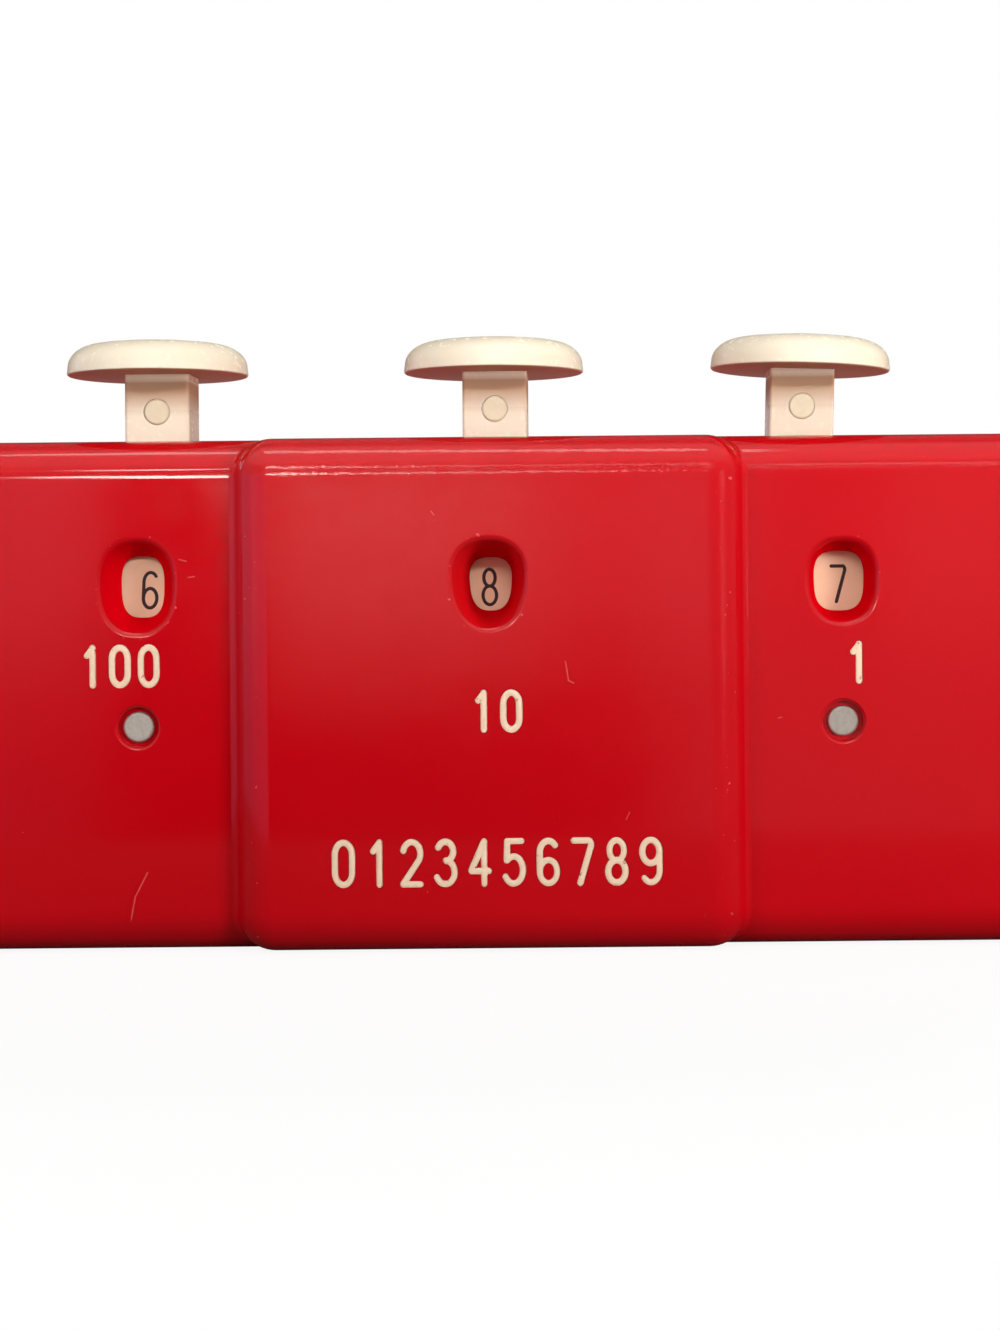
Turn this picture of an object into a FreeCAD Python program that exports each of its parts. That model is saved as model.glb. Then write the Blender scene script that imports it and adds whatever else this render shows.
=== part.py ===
import FreeCAD, Part
import math
import os
import re
import Sketcher

# Three-column push-button adder. Each button slides down through the top of the case and
# carries a spring-loaded pawl, which turns the number wheel of its column by one digit.
# A finger on one wheel meets the star of the wheel to its left, so that ten carries over.
# Millimetres. +X is the user's right, -Y faces the user, +Z is up, the case stands on z = 0,
# and the depth from the raised block's face to the back is centred on y = 0.
# The three number wheels lie side by side and fill the case from wall to wall.

SIZES = {
    # Case
    "case_wide": 127.0,
    "case_tall": 57.0,
    "side_deep": 26.0,
    "block_wide": 57.0,
    "block_rise": 3.0,
    "wall": 2.0,
    "edge_round": 4.4,
    "block_round": 4.4,
    "cover_thick": 3.0,
    "cover_round": 1.5,
    "rim_deep": 1.6,
    "rim_thick": 1.2,
    "rim_gap": 0.15,
    # Clearances, how far a form runs into the one that it grows from, and how far a cut runs
    # out past the face that it opens
    "root_in": 0.5,
    "cut_past": 2.0,
    "run_gap": 0.05,
    "seat_gap": 0.02,
    "side_gap": 0.1,
    # Windows: a bowl cut in the face, with an eye at its foot
    "bowl_fullness": 0.68,
    "neck_wall": 1.1,
    "eye_gap": 0.4,
    "dollars_bowl_wide": 9.1,
    "dollars_bowl_tall": 11.3,
    "dollars_eye_wide": 4.85,
    "dollars_eye_tall": 6.9,
    "dimes_bowl_wide": 8.9,
    "dimes_bowl_tall": 10.8,
    "dimes_eye_wide": 4.7,
    "dimes_eye_tall": 6.0,
    "cents_bowl_wide": 8.5,
    "cents_bowl_tall": 10.2,
    "cents_eye_wide": 5.6,
    "cents_eye_tall": 6.7,
    # Number wheels
    "dial_side_room": 3.1,
    "dial_foot_room": 3.75,
    "dial_gap": 0.65,
    "dial_set_back": 4.6,
    "digit_in": 3.65,
    "dial_thick": 1.2,
    "square_wide": 6.4,
    "level_gap": 0.2,
    "level_thick": 1.4,
    "hub_dia": 14.0,
    "star_in": 0.45,
    "star_tooth_tall": 2.8,
    "star_tooth_base": 2.0,
    "star_tooth_tip": 1.0,
    "finger_bite": 1.05,
    "finger_base": 5.0,
    "finger_tip": 1.4,
    "ratchet_dia": 22.0,
    "ratchet_root_dia": 17.2,
    "ratchet_thick": 2.0,
    # Axles
    "axle_dia": 3.4,
    "axle_hole_dia": 4.4,
    "axle_hole_deep": 1.0,
    "axle_sunk": 0.45,
    "axle_end_round": 0.3,
    "axle_grip": 1.5,
    "axle_boss_dia": 8.0,
    "blind_deep": 3.0,
    "washer_dia": 7.0,
    "washer_thick": 0.3,
    "bearing_boss_dia": 6.0,
    # Carriages
    "travel": 6.2,
    "blade_gap": 0.5,
    "blade_thick": 2.6,
    "blade_half": 8.0,
    "blade_peg_dia": 2.6,
    "blade_round": 1.2,
    "tongue_wide": 4.0,
    "tongue_over": 3.3,
    "ear_gap": 1.375,
    "ear_foot": 8.5,
    "ear_over": 1.8,
    # Buttons
    "cap_dia": 20.8,
    "cap_thick": 4.1,
    "cap_round": 2.9,
    "stem_wide": 7.4,
    "stem_round": 0.35,
    "stem_show": 8.0,
    "stem_in": 8.0,
    "slot_gap": 0.25,
    "pocket_gap": 0.35,
    "foot_gap": 0.15,
    "pin_dia": 3.0,
    "pin_rise": 3.7,
    "pin_proud": 0.1,
    "pin_end_round": 0.3,
    "dollars_shift": 0.8,
    "dimes_shift": 0.4,
    "cents_shift": -3.55,
    "cents_lean": 1.7,
    # Pawls
    "pawl_thick": 1.6,
    "pawl_pivot_gap": 0.1,
    "pawl_pivot_up": 12.0,
    "pawl_eye_dia": 3.8,
    "pawl_tip_in": 0.5,
    "pawl_tip_gap": 0.65,
    "pawl_tip_dia": 1.0,
    "pawl_hook_tall": 2.0,
    "pawl_pin_dia": 1.6,
    "pawl_pin_head_dia": 2.8,
    "pawl_pin_head_thick": 0.3,
    "anchor_in": 1.6,
    "anchor_up": 15.2,
    "anchor_dia": 1.5,
    "anchor_loop_dia": 2.3,
    "leaf_thick": 0.3,
    "pawl_leaf_wide": 1.0,
    # Click springs
    "click_post_out": 15.0,
    "click_post_over": 5.8,
    "click_post_dia": 4.4,
    "click_foot_thick": 0.4,
    "click_leaf_thick": 0.4,
    "click_leaf_rise": 1.8,
    "click_tip_in": 0.97,
    "click_tip_gap": 0.28,
    "click_screw_dia": 1.8,
    "click_screw_head_dia": 3.4,
    "click_screw_head_thick": 0.7,
    "click_screw_deep": 4.5,
    # Return springs
    "seat_dia": 6.4,
    "seat_thick": 1.0,
    "peg_dia": 3.0,
    "peg_tall": 2.0,
    "coil_room": 10.8,
    "coil_dia": 4.0,
    "wire_dia": 0.5,
    "coil_turns": 6.0,
    # Cover screws
    "screw_boss_dia": 6.0,
    "screw_dia": 2.2,
    "screw_head_dia": 4.6,
    "screw_head_thick": 1.2,
    "screw_long": 12.0,
    "screw_in": 5.5,
    "screw_top_drop": 7.0,
    "screw_foot_rise": 6.0,
    "guide_out": 5.0,
    "guide_thick": 1.5,
    "guide_foot": 3.5,
    "guide_clear": 0.8,
}

DIGITS = 10
STEP = 360 / DIGITS
HALF_STEP = STEP / 2

# The wheels and their places, as formulas of the sizes.
DIAL_DIA = "((case_wide - 2 * (wall + dial_side_room + dial_gap)) / 3)"
PITCH = f"({DIAL_DIA} + dial_gap)"
AXLE_RISE = f"(wall + dial_foot_room + {DIAL_DIA} / 2)"
WINDOW_RISE = f"({AXLE_RISE} + {DIAL_DIA} / 2 - digit_in)"
STAR_REACH = f"({DIAL_DIA} / 2 - star_in)"

# Planes of the depth, front to back.
CASE_BACK = "((side_deep + block_rise) / 2)"
BLOCK_FACE = f"(-{CASE_BACK})"
SIDE_FACE = f"({BLOCK_FACE} + block_rise)"
COVER_FACE = f"({CASE_BACK} - cover_thick)"
DIAL_FACE = f"({SIDE_FACE} + dial_set_back)"
EYE_PLANE = f"({DIAL_FACE} - eye_gap)"
DIAL_BACK = f"({DIAL_FACE} + dial_thick)"
LEVEL_A = f"({DIAL_BACK} + level_gap)"
LEVEL_B = f"({LEVEL_A} + level_thick + level_gap)"
RATCHET_FACE = f"({LEVEL_B} + level_thick + level_gap)"
WHEEL_BACK = f"({RATCHET_FACE} + ratchet_thick)"
BLADE_FACE = f"({WHEEL_BACK} + blade_gap)"
BLADE_BACK = f"({BLADE_FACE} + blade_thick)"
BLADE_MIDDLE = f"({BLADE_FACE} + blade_thick / 2)"
BOSS_TIP = f"({DIAL_FACE} - washer_thick - side_gap)"
PAWL_FACE = f"({WHEEL_BACK} - pawl_thick)"

# Height of the click springs' posts, which stand clear of the foot screws' bosses.
CLICK_POST_RISE = "(screw_foot_rise + click_post_over)"

# Heights of the moving pieces at rest, and how far a carriage's ear reaches from its axle.
BLADE_FOOT = "(wall + seat_thick + coil_room)"
STEM_FOOT = "(case_tall - stem_in)"
PIN_RISE = "(case_tall + pin_rise)"
TONGUE_TOP = f"({PIN_RISE} + tongue_over)"
CAP_FOOT = "(case_tall + stem_show)"
LEAN_RISE = "(case_tall - wall / 2 + travel / 2)"
EAR_REACH = f"({PITCH} / 2 - ear_gap)"
ANCHOR_OUT = f"({EAR_REACH} - anchor_in)"
PIVOT_OUT = "(ratchet_dia / 2 + pawl_eye_dia / 2 + pawl_pivot_gap)"


def beyond_tooth(tip_in, gap):
    """Where a tip stands off a tooth's radial face: its distances along and up from the axle."""
    reach = f"(ratchet_dia / 2 - {tip_in})"
    return (
        f"({reach} * cos({HALF_STEP}) - ({gap}) * sin({HALF_STEP}))",
        f"({reach} * sin({HALF_STEP}) + ({gap}) * cos({HALF_STEP}))",
    )


PAWL_TIP = beyond_tooth("pawl_tip_in", "pawl_tip_dia / 2 + pawl_tip_gap")
CLICK_TIP = beyond_tooth("click_tip_in", "click_tip_gap")

# Each column: its name, its place, the side of its wheel that the pawl drives, how far its
# button stands from the column's line, the digit that it shows at rest, and the levels of its
# carry finger (none on the last wheel) and of the star that its neighbour's finger turns.
COLUMNS = [
    {"name": "dollars", "x": f"(-{PITCH})", "hand": 1, "shift": "dollars_shift", "digit": 6,
     "finger": None, "star": LEVEL_B},
    {"name": "dimes", "x": "(0)", "hand": -1, "shift": "dimes_shift", "digit": 8,
     "finger": LEVEL_B, "star": LEVEL_A},
    {"name": "cents", "x": PITCH, "hand": 1, "shift": "cents_shift", "digit": 7,
     "finger": LEVEL_A, "star": None},
]

# The cover's screws: beside each end, and between the wheels behind the raised block.
SCREW_SPOTS = [
    {"x": across, "z": up, "face": face}
    for across, face in (
        ("(-case_wide / 2 + screw_in)", SIDE_FACE),
        (f"(-{PITCH} / 2)", BLOCK_FACE),
        (f"({PITCH} / 2)", BLOCK_FACE),
        ("(case_wide / 2 - screw_in)", SIDE_FACE),
    )
    for up in ("(case_tall - screw_top_drop)", "screw_foot_rise")
]

# Lengths below this count as nothing.
TINY = 1e-3

doc = FreeCAD.newDocument("adder")
sheet = doc.addObject("Spreadsheet::Sheet", "Sizes")
sub_parts = []


def fill_sheet():
    for row, (alias, value) in enumerate(SIZES.items(), start=1):
        sheet.set(f"A{row}", alias)
        sheet.set(f"B{row}", str(value))
        sheet.setAlias(f"B{row}", alias)
    doc.recompute()


def tied(formula):
    """The formula with each size's name turned into its cell in the sheet."""
    def cell(match):
        word = match.group(0)
        return f"Sizes.{word}" if word in SIZES else word
    return re.sub(r"[a-z][a-z_]*", cell, str(formula))


def tie(thing, **formulas):
    """Binds properties to formulas. Base_x stands for Placement.Base.x."""
    for key, formula in formulas.items():
        path = key if not key.startswith("Base_") else f"Placement.Base.{key[-1]}"
        thing.setExpression(path, tied(formula))
    return thing


# --- Part primitives -------------------------------------------------------------------

LIE_TO_FRONT = FreeCAD.Rotation(FreeCAD.Vector(1, 0, 0), 90)
STAND_IN_FACE = FreeCAD.Rotation(FreeCAD.Vector(1, 1, 1), 240)


def slab(name, x, y, z):
    """A box between two planes in each direction, each pair given low first."""
    box = doc.addObject("Part::Box", name)
    tie(box, Base_x=x[0], Base_y=y[0], Base_z=z[0])
    tie(box, Length=f"({x[1]}) - ({x[0]})", Width=f"({y[1]}) - ({y[0]})")
    return tie(box, Height=f"({z[1]}) - ({z[0]})")


def rod(name, x, z, y, dia):
    """A cylinder along the depth, between the planes y[0] and y[1]."""
    bar = doc.addObject("Part::Cylinder", name)
    bar.Placement.Rotation = LIE_TO_FRONT
    tie(bar, Base_x=x, Base_y=y[1], Base_z=z)
    return tie(bar, Radius=f"({dia}) / 2", Height=f"({y[1]}) - ({y[0]})")


def post(name, x, y, z, dia):
    """An upright cylinder between the heights z[0] and z[1]."""
    bar = doc.addObject("Part::Cylinder", name)
    tie(bar, Base_x=x, Base_y=y, Base_z=z[0])
    return tie(bar, Radius=f"({dia}) / 2", Height=f"({z[1]}) - ({z[0]})")


def taper(name, x, z, y, front_dia, back_dia):
    """A cone along the depth, between the planes y[0] and y[1]."""
    cone = doc.addObject("Part::Cone", name)
    cone.Placement.Rotation = LIE_TO_FRONT
    tie(cone, Base_x=x, Base_y=y[1], Base_z=z, Height=f"({y[1]}) - ({y[0]})")
    return tie(cone, Radius1=f"({back_dia}) / 2", Radius2=f"({front_dia}) / 2")


def bowl(name, x, z, sections):
    """A loft through upright ellipses, each given as (plane y, width, height)."""
    rings = []
    for number, (y, wide, tall) in enumerate(sections):
        ring = doc.addObject("Part::Ellipse", f"{name}_ring_{number}")
        ring.Placement.Rotation = STAND_IN_FACE
        tie(ring, Base_x=x, Base_y=y, Base_z=z)
        tie(ring, MajorRadius=f"({tall}) / 2", MinorRadius=f"({wide}) / 2")
        rings.append(ring)
    loft = doc.addObject("Part::Loft", name)
    loft.Sections = rings
    loft.Solid = True
    return loft


def fuse(name, pieces):
    joined = doc.addObject("Part::MultiFuse", name)
    joined.Shapes = pieces
    joined.Refine = True
    return joined


def cut(name, base, tools):
    tool = tools[0] if len(tools) == 1 else fuse(f"{name}_tools", tools)
    result = doc.addObject("Part::Cut", name)
    result.Base = base
    result.Tool = tool
    result.Refine = True
    return result


# --- PartDesign ------------------------------------------------------------------------

def new_body(name):
    return doc.addObject("PartDesign::Body", name)


def sketch_at(body, name, role, offset):
    """A sketch on an origin plane of the body, moved along the plane's normal."""
    sketch = body.newObject("Sketcher::SketchObject", name)
    plane = next(item for item in body.Origin.OriginFeatures if item.Role == role)
    sketch.AttachmentSupport = [(plane, "")]
    sketch.MapMode = "FlatFace"
    sketch.setExpression("AttachmentOffset.Base.z", tied(offset))
    return sketch


def draw_outline(sketch, corners):
    """A closed outline whose corners are each tied to the origin by two formulas."""
    count = len(corners)
    start = [
        FreeCAD.Vector(math.cos(2 * math.pi * step / count), math.sin(2 * math.pi * step / count), 0)
        for step in range(count)
    ]
    for step in range(count):
        sketch.addGeometry(Part.LineSegment(start[step], start[(step + 1) % count]), False)
    for step in range(count):
        sketch.addConstraint(Sketcher.Constraint("Coincident", step, 2, (step + 1) % count, 1))
    for step, corner in enumerate(corners):
        for kind, formula, value in zip(("DistanceX", "DistanceY"), corner, start[step]):
            held = sketch.addConstraint(Sketcher.Constraint(kind, -1, 1, step, 1, value))
            sketch.setExpression(f"Constraints[{held}]", tied(formula))


def draw_circle(sketch, across, up, dia):
    circle = sketch.addGeometry(Part.Circle(FreeCAD.Vector(1, 1, 0), FreeCAD.Vector(0, 0, 1), 1))
    for kind, formula in (("DistanceX", across), ("DistanceY", up)):
        held = sketch.addConstraint(Sketcher.Constraint(kind, -1, 1, circle, 3, 1.0))
        sketch.setExpression(f"Constraints[{held}]", tied(formula))
    held = sketch.addConstraint(Sketcher.Constraint("Radius", circle, 1.0))
    sketch.setExpression(f"Constraints[{held}]", tied(f"({dia}) / 2"))


def rectangle(x, z):
    return [(x[0], z[0]), (x[1], z[0]), (x[1], z[1]), (x[0], z[1])]


def add_feature(body, kind, sketch, name, length):
    feature = body.newObject(f"PartDesign::{kind}", name)
    feature.Profile = sketch
    feature.setExpression("Length", tied(length))
    doc.recompute()
    return feature


def pad_front(body, name, y, corners=None, circle=None):
    """Adds a prism of the outline or circle (x, z, diameter) between the planes y[0], y[1]."""
    sketch = sketch_at(body, f"{name}_sketch", "XZ_Plane", f"-({y[1]})")
    if corners:
        draw_outline(sketch, corners)
    if circle:
        draw_circle(sketch, *circle)
    return add_feature(body, "Pad", sketch, name, f"({y[1]}) - ({y[0]})")


def pocket_front(body, name, y, corners=None, circle=None):
    """Cuts a prism of the outline or circle (x, z, diameter) between the planes y[0], y[1]."""
    before = body.Shape.Volume
    sketch = sketch_at(body, f"{name}_sketch", "XZ_Plane", f"-({y[0]})")
    if corners:
        draw_outline(sketch, corners)
    if circle:
        draw_circle(sketch, *circle)
    feature = add_feature(body, "Pocket", sketch, name, f"({y[1]}) - ({y[0]})")
    if not feature.Shape.Volume < before:
        raise RuntimeError(f"{name} cuts nothing")
    return feature


def round_edges(body, name, radius, chosen):
    """Fillets the edges of the body's newest shape for which chosen(edge) holds."""
    base = body.Tip
    names = [f"Edge{number}" for number, edge in enumerate(base.Shape.Edges, start=1) if chosen(edge)]
    if not names:
        raise RuntimeError(f"{name} has no edge to round")
    fillet = body.newObject("PartDesign::Fillet", name)
    fillet.Base = (base, names)
    fillet.setExpression("Radius", tied(radius))
    doc.recompute()
    return fillet


def repeat_round(body, name, feature, sketch_axis):
    """Repeats a feature once for each digit, about the line of the axle."""
    pattern = body.newObject("PartDesign::PolarPattern", name)
    pattern.Originals = [feature]
    pattern.Axis = (sketch_axis, ["N_Axis"])
    pattern.Angle = DIGITS * STEP
    pattern.Occurrences = DIGITS
    body.Tip = pattern
    doc.recompute()
    return pattern


def box_of(edge):
    return edge.BoundBox


def along(edge, axis):
    """Whether an edge runs straight along one axis."""
    box = box_of(edge)
    lengths = {"x": box.XLength, "y": box.YLength, "z": box.ZLength}
    return all(
        (length > TINY) == (name == axis)
        for name, length in lengths.items()
    ) and isinstance(edge.Curve, Part.Line)


def rounded_form(name, x, y, z, corner_round, front_round):
    """A block with its four long corners rounded, then the whole edge of its front face."""
    body = new_body(name)
    pad_front(body, f"{name}_pad", y, corners=rectangle(x, z))
    round_edges(body, f"{name}_corners", corner_round, lambda edge: along(edge, "y"))
    face = body.Tip.Shape.BoundBox.YMin
    round_edges(
        body, f"{name}_front", front_round,
        lambda edge: box_of(edge).YMax - face < TINY,
    )
    return body


def finish(thing, label):
    """Names a finished sub-part."""
    thing.Label = label
    sub_parts.append(thing)
    return thing


def place_on_axle(thing, column):
    """Stands a piece that was drawn about its axle on that axle."""
    return tie(thing, Base_x=column["x"], Base_z=AXLE_RISE)


# --- Case ------------------------------------------------------------------------------

def case_forms(name, inset, corner_round, block_corner_round):
    """The side form and the raised block form, shrunk inwards by the inset on all sides."""
    half = f"case_wide / 2 - {inset}"
    block_half = f"block_wide / 2 - {inset}"
    heights = (inset, f"case_tall - {inset}")
    side = rounded_form(
        f"{name}_sides", (f"-({half})", half), (f"{SIDE_FACE} + {inset}", COVER_FACE), heights,
        corner_round, corner_round,
    )
    block = rounded_form(
        f"{name}_block", (f"-({block_half})", block_half), (f"{BLOCK_FACE} + {inset}", COVER_FACE),
        heights, block_corner_round, block_corner_round,
    )
    return [side, block]


def window_face(column):
    return BLOCK_FACE if column["name"] == "dimes" else SIDE_FACE


def window_sections(column, start, margin):
    """The bowl's ellipses from the plane start down to the eye, each grown by the margin."""
    name = column["name"]
    full = "bowl_fullness"

    def middle(way):
        eye = f"{name}_eye_{way}"
        return f"{eye} + ({name}_bowl_{way} - {eye}) * {full} + {margin}"

    halfway = f"(({start}) + {EYE_PLANE}) / 2"
    return [
        (start, f"{name}_bowl_wide + {margin}", f"{name}_bowl_tall + {margin}"),
        (halfway, middle("wide"), middle("tall")),
        (EYE_PLANE, f"{name}_eye_wide + {margin}", f"{name}_eye_tall + {margin}"),
    ]


def shell_additions(column):
    """Inside one column: the window's neck, the axle's boss and the return spring's seat."""
    name = column["name"]
    x = column["x"]
    face = window_face(column)
    neck = bowl(f"{name}_neck", x, WINDOW_RISE,
                window_sections(column, f"{face} + wall / 2", "2 * neck_wall"))
    boss = rod(f"{name}_front_boss", x, AXLE_RISE, (f"{face} + wall / 2", BOSS_TIP), "axle_boss_dia")
    seat = post(f"{name}_seat", x, BLADE_MIDDLE, ("wall / 2", "wall + seat_thick"), "seat_dia")
    peg = post(f"{name}_peg", x, BLADE_MIDDLE, ("wall", "wall + seat_thick + peg_tall"), "peg_dia")
    return [neck, boss, seat, peg]


def shell_openings(column):
    """Through one column: the window's bowl, the axle's bores and the stem's slot."""
    name = column["name"]
    x = column["x"]
    button_x = f"{x} + {column['shift']}"
    face = window_face(column)
    eye = bowl(f"{name}_bowl", x, WINDOW_RISE, window_sections(column, face, "0"))
    bore_dia = "axle_dia + 2 * run_gap"
    half = "(stem_wide / 2 + slot_gap)"
    slot = slab(
        f"{name}_slot",
        (f"{button_x} - {half}", f"{button_x} + {half}"),
        (f"{BLADE_MIDDLE} - {half}", f"{BLADE_MIDDLE} + {half}"),
        ("case_tall - wall - cut_past", "case_tall + cut_past"),
    )
    if face == SIDE_FACE:
        bore = rod(f"{name}_front_bore", x, AXLE_RISE,
                   (f"{face} - cut_past", f"{BOSS_TIP} + cut_past"), bore_dia)
        mouth = rod(f"{name}_mouth", x, AXLE_RISE,
                    (f"{face} - cut_past", f"{face} + axle_hole_deep"), "axle_hole_dia")
        return [eye, bore, mouth, slot]
    bore = rod(f"{name}_front_bore", x, AXLE_RISE,
               (f"{BOSS_TIP} - blind_deep", f"{BOSS_TIP} + cut_past"), bore_dia)
    return [eye, bore, slot]


def make_front_shell():
    outer = fuse("case_outside", case_forms("outside", "0", "edge_round", "block_round"))
    hollow = fuse("case_hollow", case_forms("inside", "wall", "edge_round - wall", "block_round - wall"))
    open_shell = cut("open_shell", outer, [hollow])
    additions = [piece for column in COLUMNS for piece in shell_additions(column)]
    openings = [piece for column in COLUMNS for piece in shell_openings(column)]
    for number, spot in enumerate(SCREW_SPOTS):
        additions.append(rod(f"screw_boss_{number}", spot["x"], spot["z"],
                             (f"{spot['face']} + wall / 2", COVER_FACE), "screw_boss_dia"))
        openings.append(rod(f"screw_pilot_{number}", spot["x"], spot["z"],
                            (f"{CASE_BACK} - screw_long - cut_past", f"{COVER_FACE} + cut_past"),
                            "screw_dia + 2 * seat_gap"))
    full_shell = fuse("full_shell", [open_shell] + additions)
    finish(cut("front_shell", full_shell, openings), "front_shell")


def cover_additions(column):
    """On the cover, behind one column: the axle's boss, two blade guides and the click post."""
    name = column["name"]
    x = column["x"]
    hand = column["hand"]
    embedded = f"{COVER_FACE} + cover_thick / 2"
    boss = rod(f"{name}_bearing_boss", x, AXLE_RISE, (f"{WHEEL_BACK} + side_gap", embedded),
               "bearing_boss_dia")
    click_post = rod(
        f"{name}_click_post", f"{x} - ({hand}) * click_post_out", CLICK_POST_RISE,
        (WHEEL_BACK, embedded), "click_post_dia",
    )
    guides = [
        slab(
            f"{name}_guide_{word}",
            (f"{x} + {low}", f"{x} + {high}"),
            (f"{BLADE_BACK} + side_gap", embedded),
            (f"{AXLE_RISE} + guide_foot", f"{STEM_FOOT} - travel - guide_clear"),
        )
        for word, low, high in (
            ("left", "(-guide_out - guide_thick)", "(-guide_out)"),
            ("right", "guide_out", "(guide_out + guide_thick)"),
        )
    ]
    return [boss, click_post] + guides


def make_back_cover():
    half = "(case_wide / 2)"
    plate = new_body("cover_plate")
    pad_front(plate, "cover_pad", (COVER_FACE, CASE_BACK),
              corners=rectangle((f"-{half}", half), ("0", "case_tall")))
    round_edges(plate, "cover_corners", "edge_round", lambda edge: along(edge, "y"))
    back = plate.Tip.Shape.BoundBox.YMax
    round_edges(plate, "cover_edge", "cover_round", lambda edge: back - box_of(edge).YMin < TINY)

    rims = []
    for word, inset, deeper in (
        ("out", "(wall + rim_gap)", "0"),
        ("in", "(wall + rim_gap + rim_thick)", "wall"),
    ):
        edge = f"({half} - {inset})"
        rim = new_body(f"rim_{word}")
        pad_front(rim, f"rim_{word}_pad",
                  (f"{COVER_FACE} - rim_deep - {deeper}", f"{COVER_FACE} + cover_thick / 2 - {deeper} / 2"),
                  corners=rectangle((f"-{edge}", edge), (inset, f"case_tall - {inset}")))
        corner = "edge_round - wall" if word == "out" else "(edge_round - wall) / 2"
        round_edges(rim, f"rim_{word}_corners", corner, lambda edge: along(edge, "y"))
        rims.append(rim)
    rim_ring = cut("rim_ring", rims[0], [rims[1]])

    clear_of_bosses = [
        rod(f"rim_relief_{number}", spot["x"], spot["z"],
            (f"{COVER_FACE} - rim_deep - cut_past", COVER_FACE), "screw_boss_dia + 2 * rim_gap")
        for number, spot in enumerate(SCREW_SPOTS)
    ]
    rim_cleared = cut("rim_cleared", rim_ring, clear_of_bosses)
    additions = [piece for column in COLUMNS for piece in cover_additions(column)]
    whole = fuse("cover_whole", [plate, rim_cleared] + additions)

    tools = []
    for column in COLUMNS:
        name = column["name"]
        x = column["x"]
        tools.append(rod(f"{name}_axle_socket", x, AXLE_RISE,
                         (f"{WHEEL_BACK} - cut_past", f"{COVER_FACE} + axle_grip"),
                         "axle_dia + 2 * seat_gap"))
        tools.append(rod(f"{name}_click_pilot", f"{x} - ({column['hand']}) * click_post_out",
                         CLICK_POST_RISE,
                         (f"{WHEEL_BACK} - cut_past", f"{WHEEL_BACK} + click_screw_deep"),
                         "click_screw_dia + 2 * seat_gap"))
    for number, spot in enumerate(SCREW_SPOTS):
        tools.append(rod(f"cover_hole_{number}", spot["x"], spot["z"],
                         (f"{COVER_FACE} - cut_past", f"{CASE_BACK} + cut_past"),
                         "screw_dia + 2 * seat_gap"))
        tools.append(taper(f"cover_sink_{number}", spot["x"], spot["z"],
                           (f"{CASE_BACK} - screw_head_thick - seat_gap", CASE_BACK),
                           "screw_dia + 2 * seat_gap", "screw_head_dia + 2 * seat_gap"))
    finish(cut("back_cover", whole, tools), "back_cover")


def make_cover_screws():
    screws = []
    for number, spot in enumerate(SCREW_SPOTS):
        head = taper(f"screw_head_{number}", spot["x"], spot["z"],
                     (f"{CASE_BACK} - screw_head_thick", CASE_BACK), "screw_dia", "screw_head_dia")
        shank = rod(f"screw_shank_{number}", spot["x"], spot["z"],
                    (f"{CASE_BACK} - screw_long", f"{CASE_BACK} - screw_head_thick / 2"), "screw_dia")
        screws.append(fuse(f"screw_{number}", [head, shank]))
    finish(doc.addObject("Part::Compound", "cover_screws"), "cover_screws").Links = screws


# --- Number wheels ---------------------------------------------------------------------

def polar(reach, offset, angle):
    """The corner at a reach along a direction (degrees), and an offset across it."""
    return (
        f"({reach}) * cos({angle}) - ({offset}) * sin({angle})",
        f"({reach}) * sin({angle}) + ({offset}) * cos({angle})",
    )


def spoke(reach_in, half_in, reach_out, half_out, angle):
    return [
        polar(reach_in, f"-({half_in})", angle),
        polar(reach_out, f"-({half_out})", angle),
        polar(reach_out, half_out, angle),
        polar(reach_in, half_in, angle),
    ]


def square(half):
    return rectangle((f"-({half})", half), (f"-({half})", half))


def make_dial(column):
    """The numbered disc, with the square drive that the other two wheels sit on."""
    name = column["name"]
    body = new_body(f"{name}_dial")
    pad_front(body, f"{name}_dial_disc", (DIAL_FACE, DIAL_BACK), circle=("0", "0", DIAL_DIA))
    pad_front(body, f"{name}_dial_drive", (DIAL_BACK, WHEEL_BACK), corners=square("square_wide / 2"))
    pocket_front(body, f"{name}_dial_bore", (DIAL_FACE, WHEEL_BACK),
                 circle=("0", "0", "axle_dia + 2 * run_gap"))
    finish(place_on_axle(body, column), f"{name}_dial")


def make_carry_wheel(column):
    """The hub with the star that the right-hand neighbour turns, the carry finger, or both."""
    name = column["name"]
    body = new_body(f"{name}_carry_wheel")
    pad_front(body, f"{name}_carry_hub", (DIAL_BACK, RATCHET_FACE), circle=("0", "0", "hub_dia"))
    if column["star"]:
        level = (column["star"], f"{column['star']} + level_thick")
        root = f"({STAR_REACH} - star_tooth_tall)"
        pad_front(body, f"{name}_star_disc", level, circle=("0", "0", f"2 * {root}"))
        tooth = pad_front(
            body, f"{name}_star_tooth", level,
            corners=spoke(f"{root} - root_in", "star_tooth_base / 2",
                          STAR_REACH, "star_tooth_tip / 2", HALF_STEP),
        )
        repeat_round(body, f"{name}_star_teeth", tooth, tooth.Profile[0])
    if column["finger"]:
        # The finger points at the left-hand neighbour halfway through the step from 9 to 0.
        angle = 180 + column["hand"] * ((DIGITS - column["digit"]) * STEP - HALF_STEP)
        level = (column["finger"], f"{column['finger']} + level_thick")
        pad_front(
            body, f"{name}_carry_finger", level,
            corners=spoke("hub_dia / 2 - root_in", "finger_base / 2",
                          f"{PITCH} - {STAR_REACH} + finger_bite", "finger_tip / 2", angle),
        )
    pocket_front(body, f"{name}_carry_square", (DIAL_BACK, RATCHET_FACE),
                 corners=square("square_wide / 2 + seat_gap"))
    finish(place_on_axle(body, column), f"{name}_carry_wheel")


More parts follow.
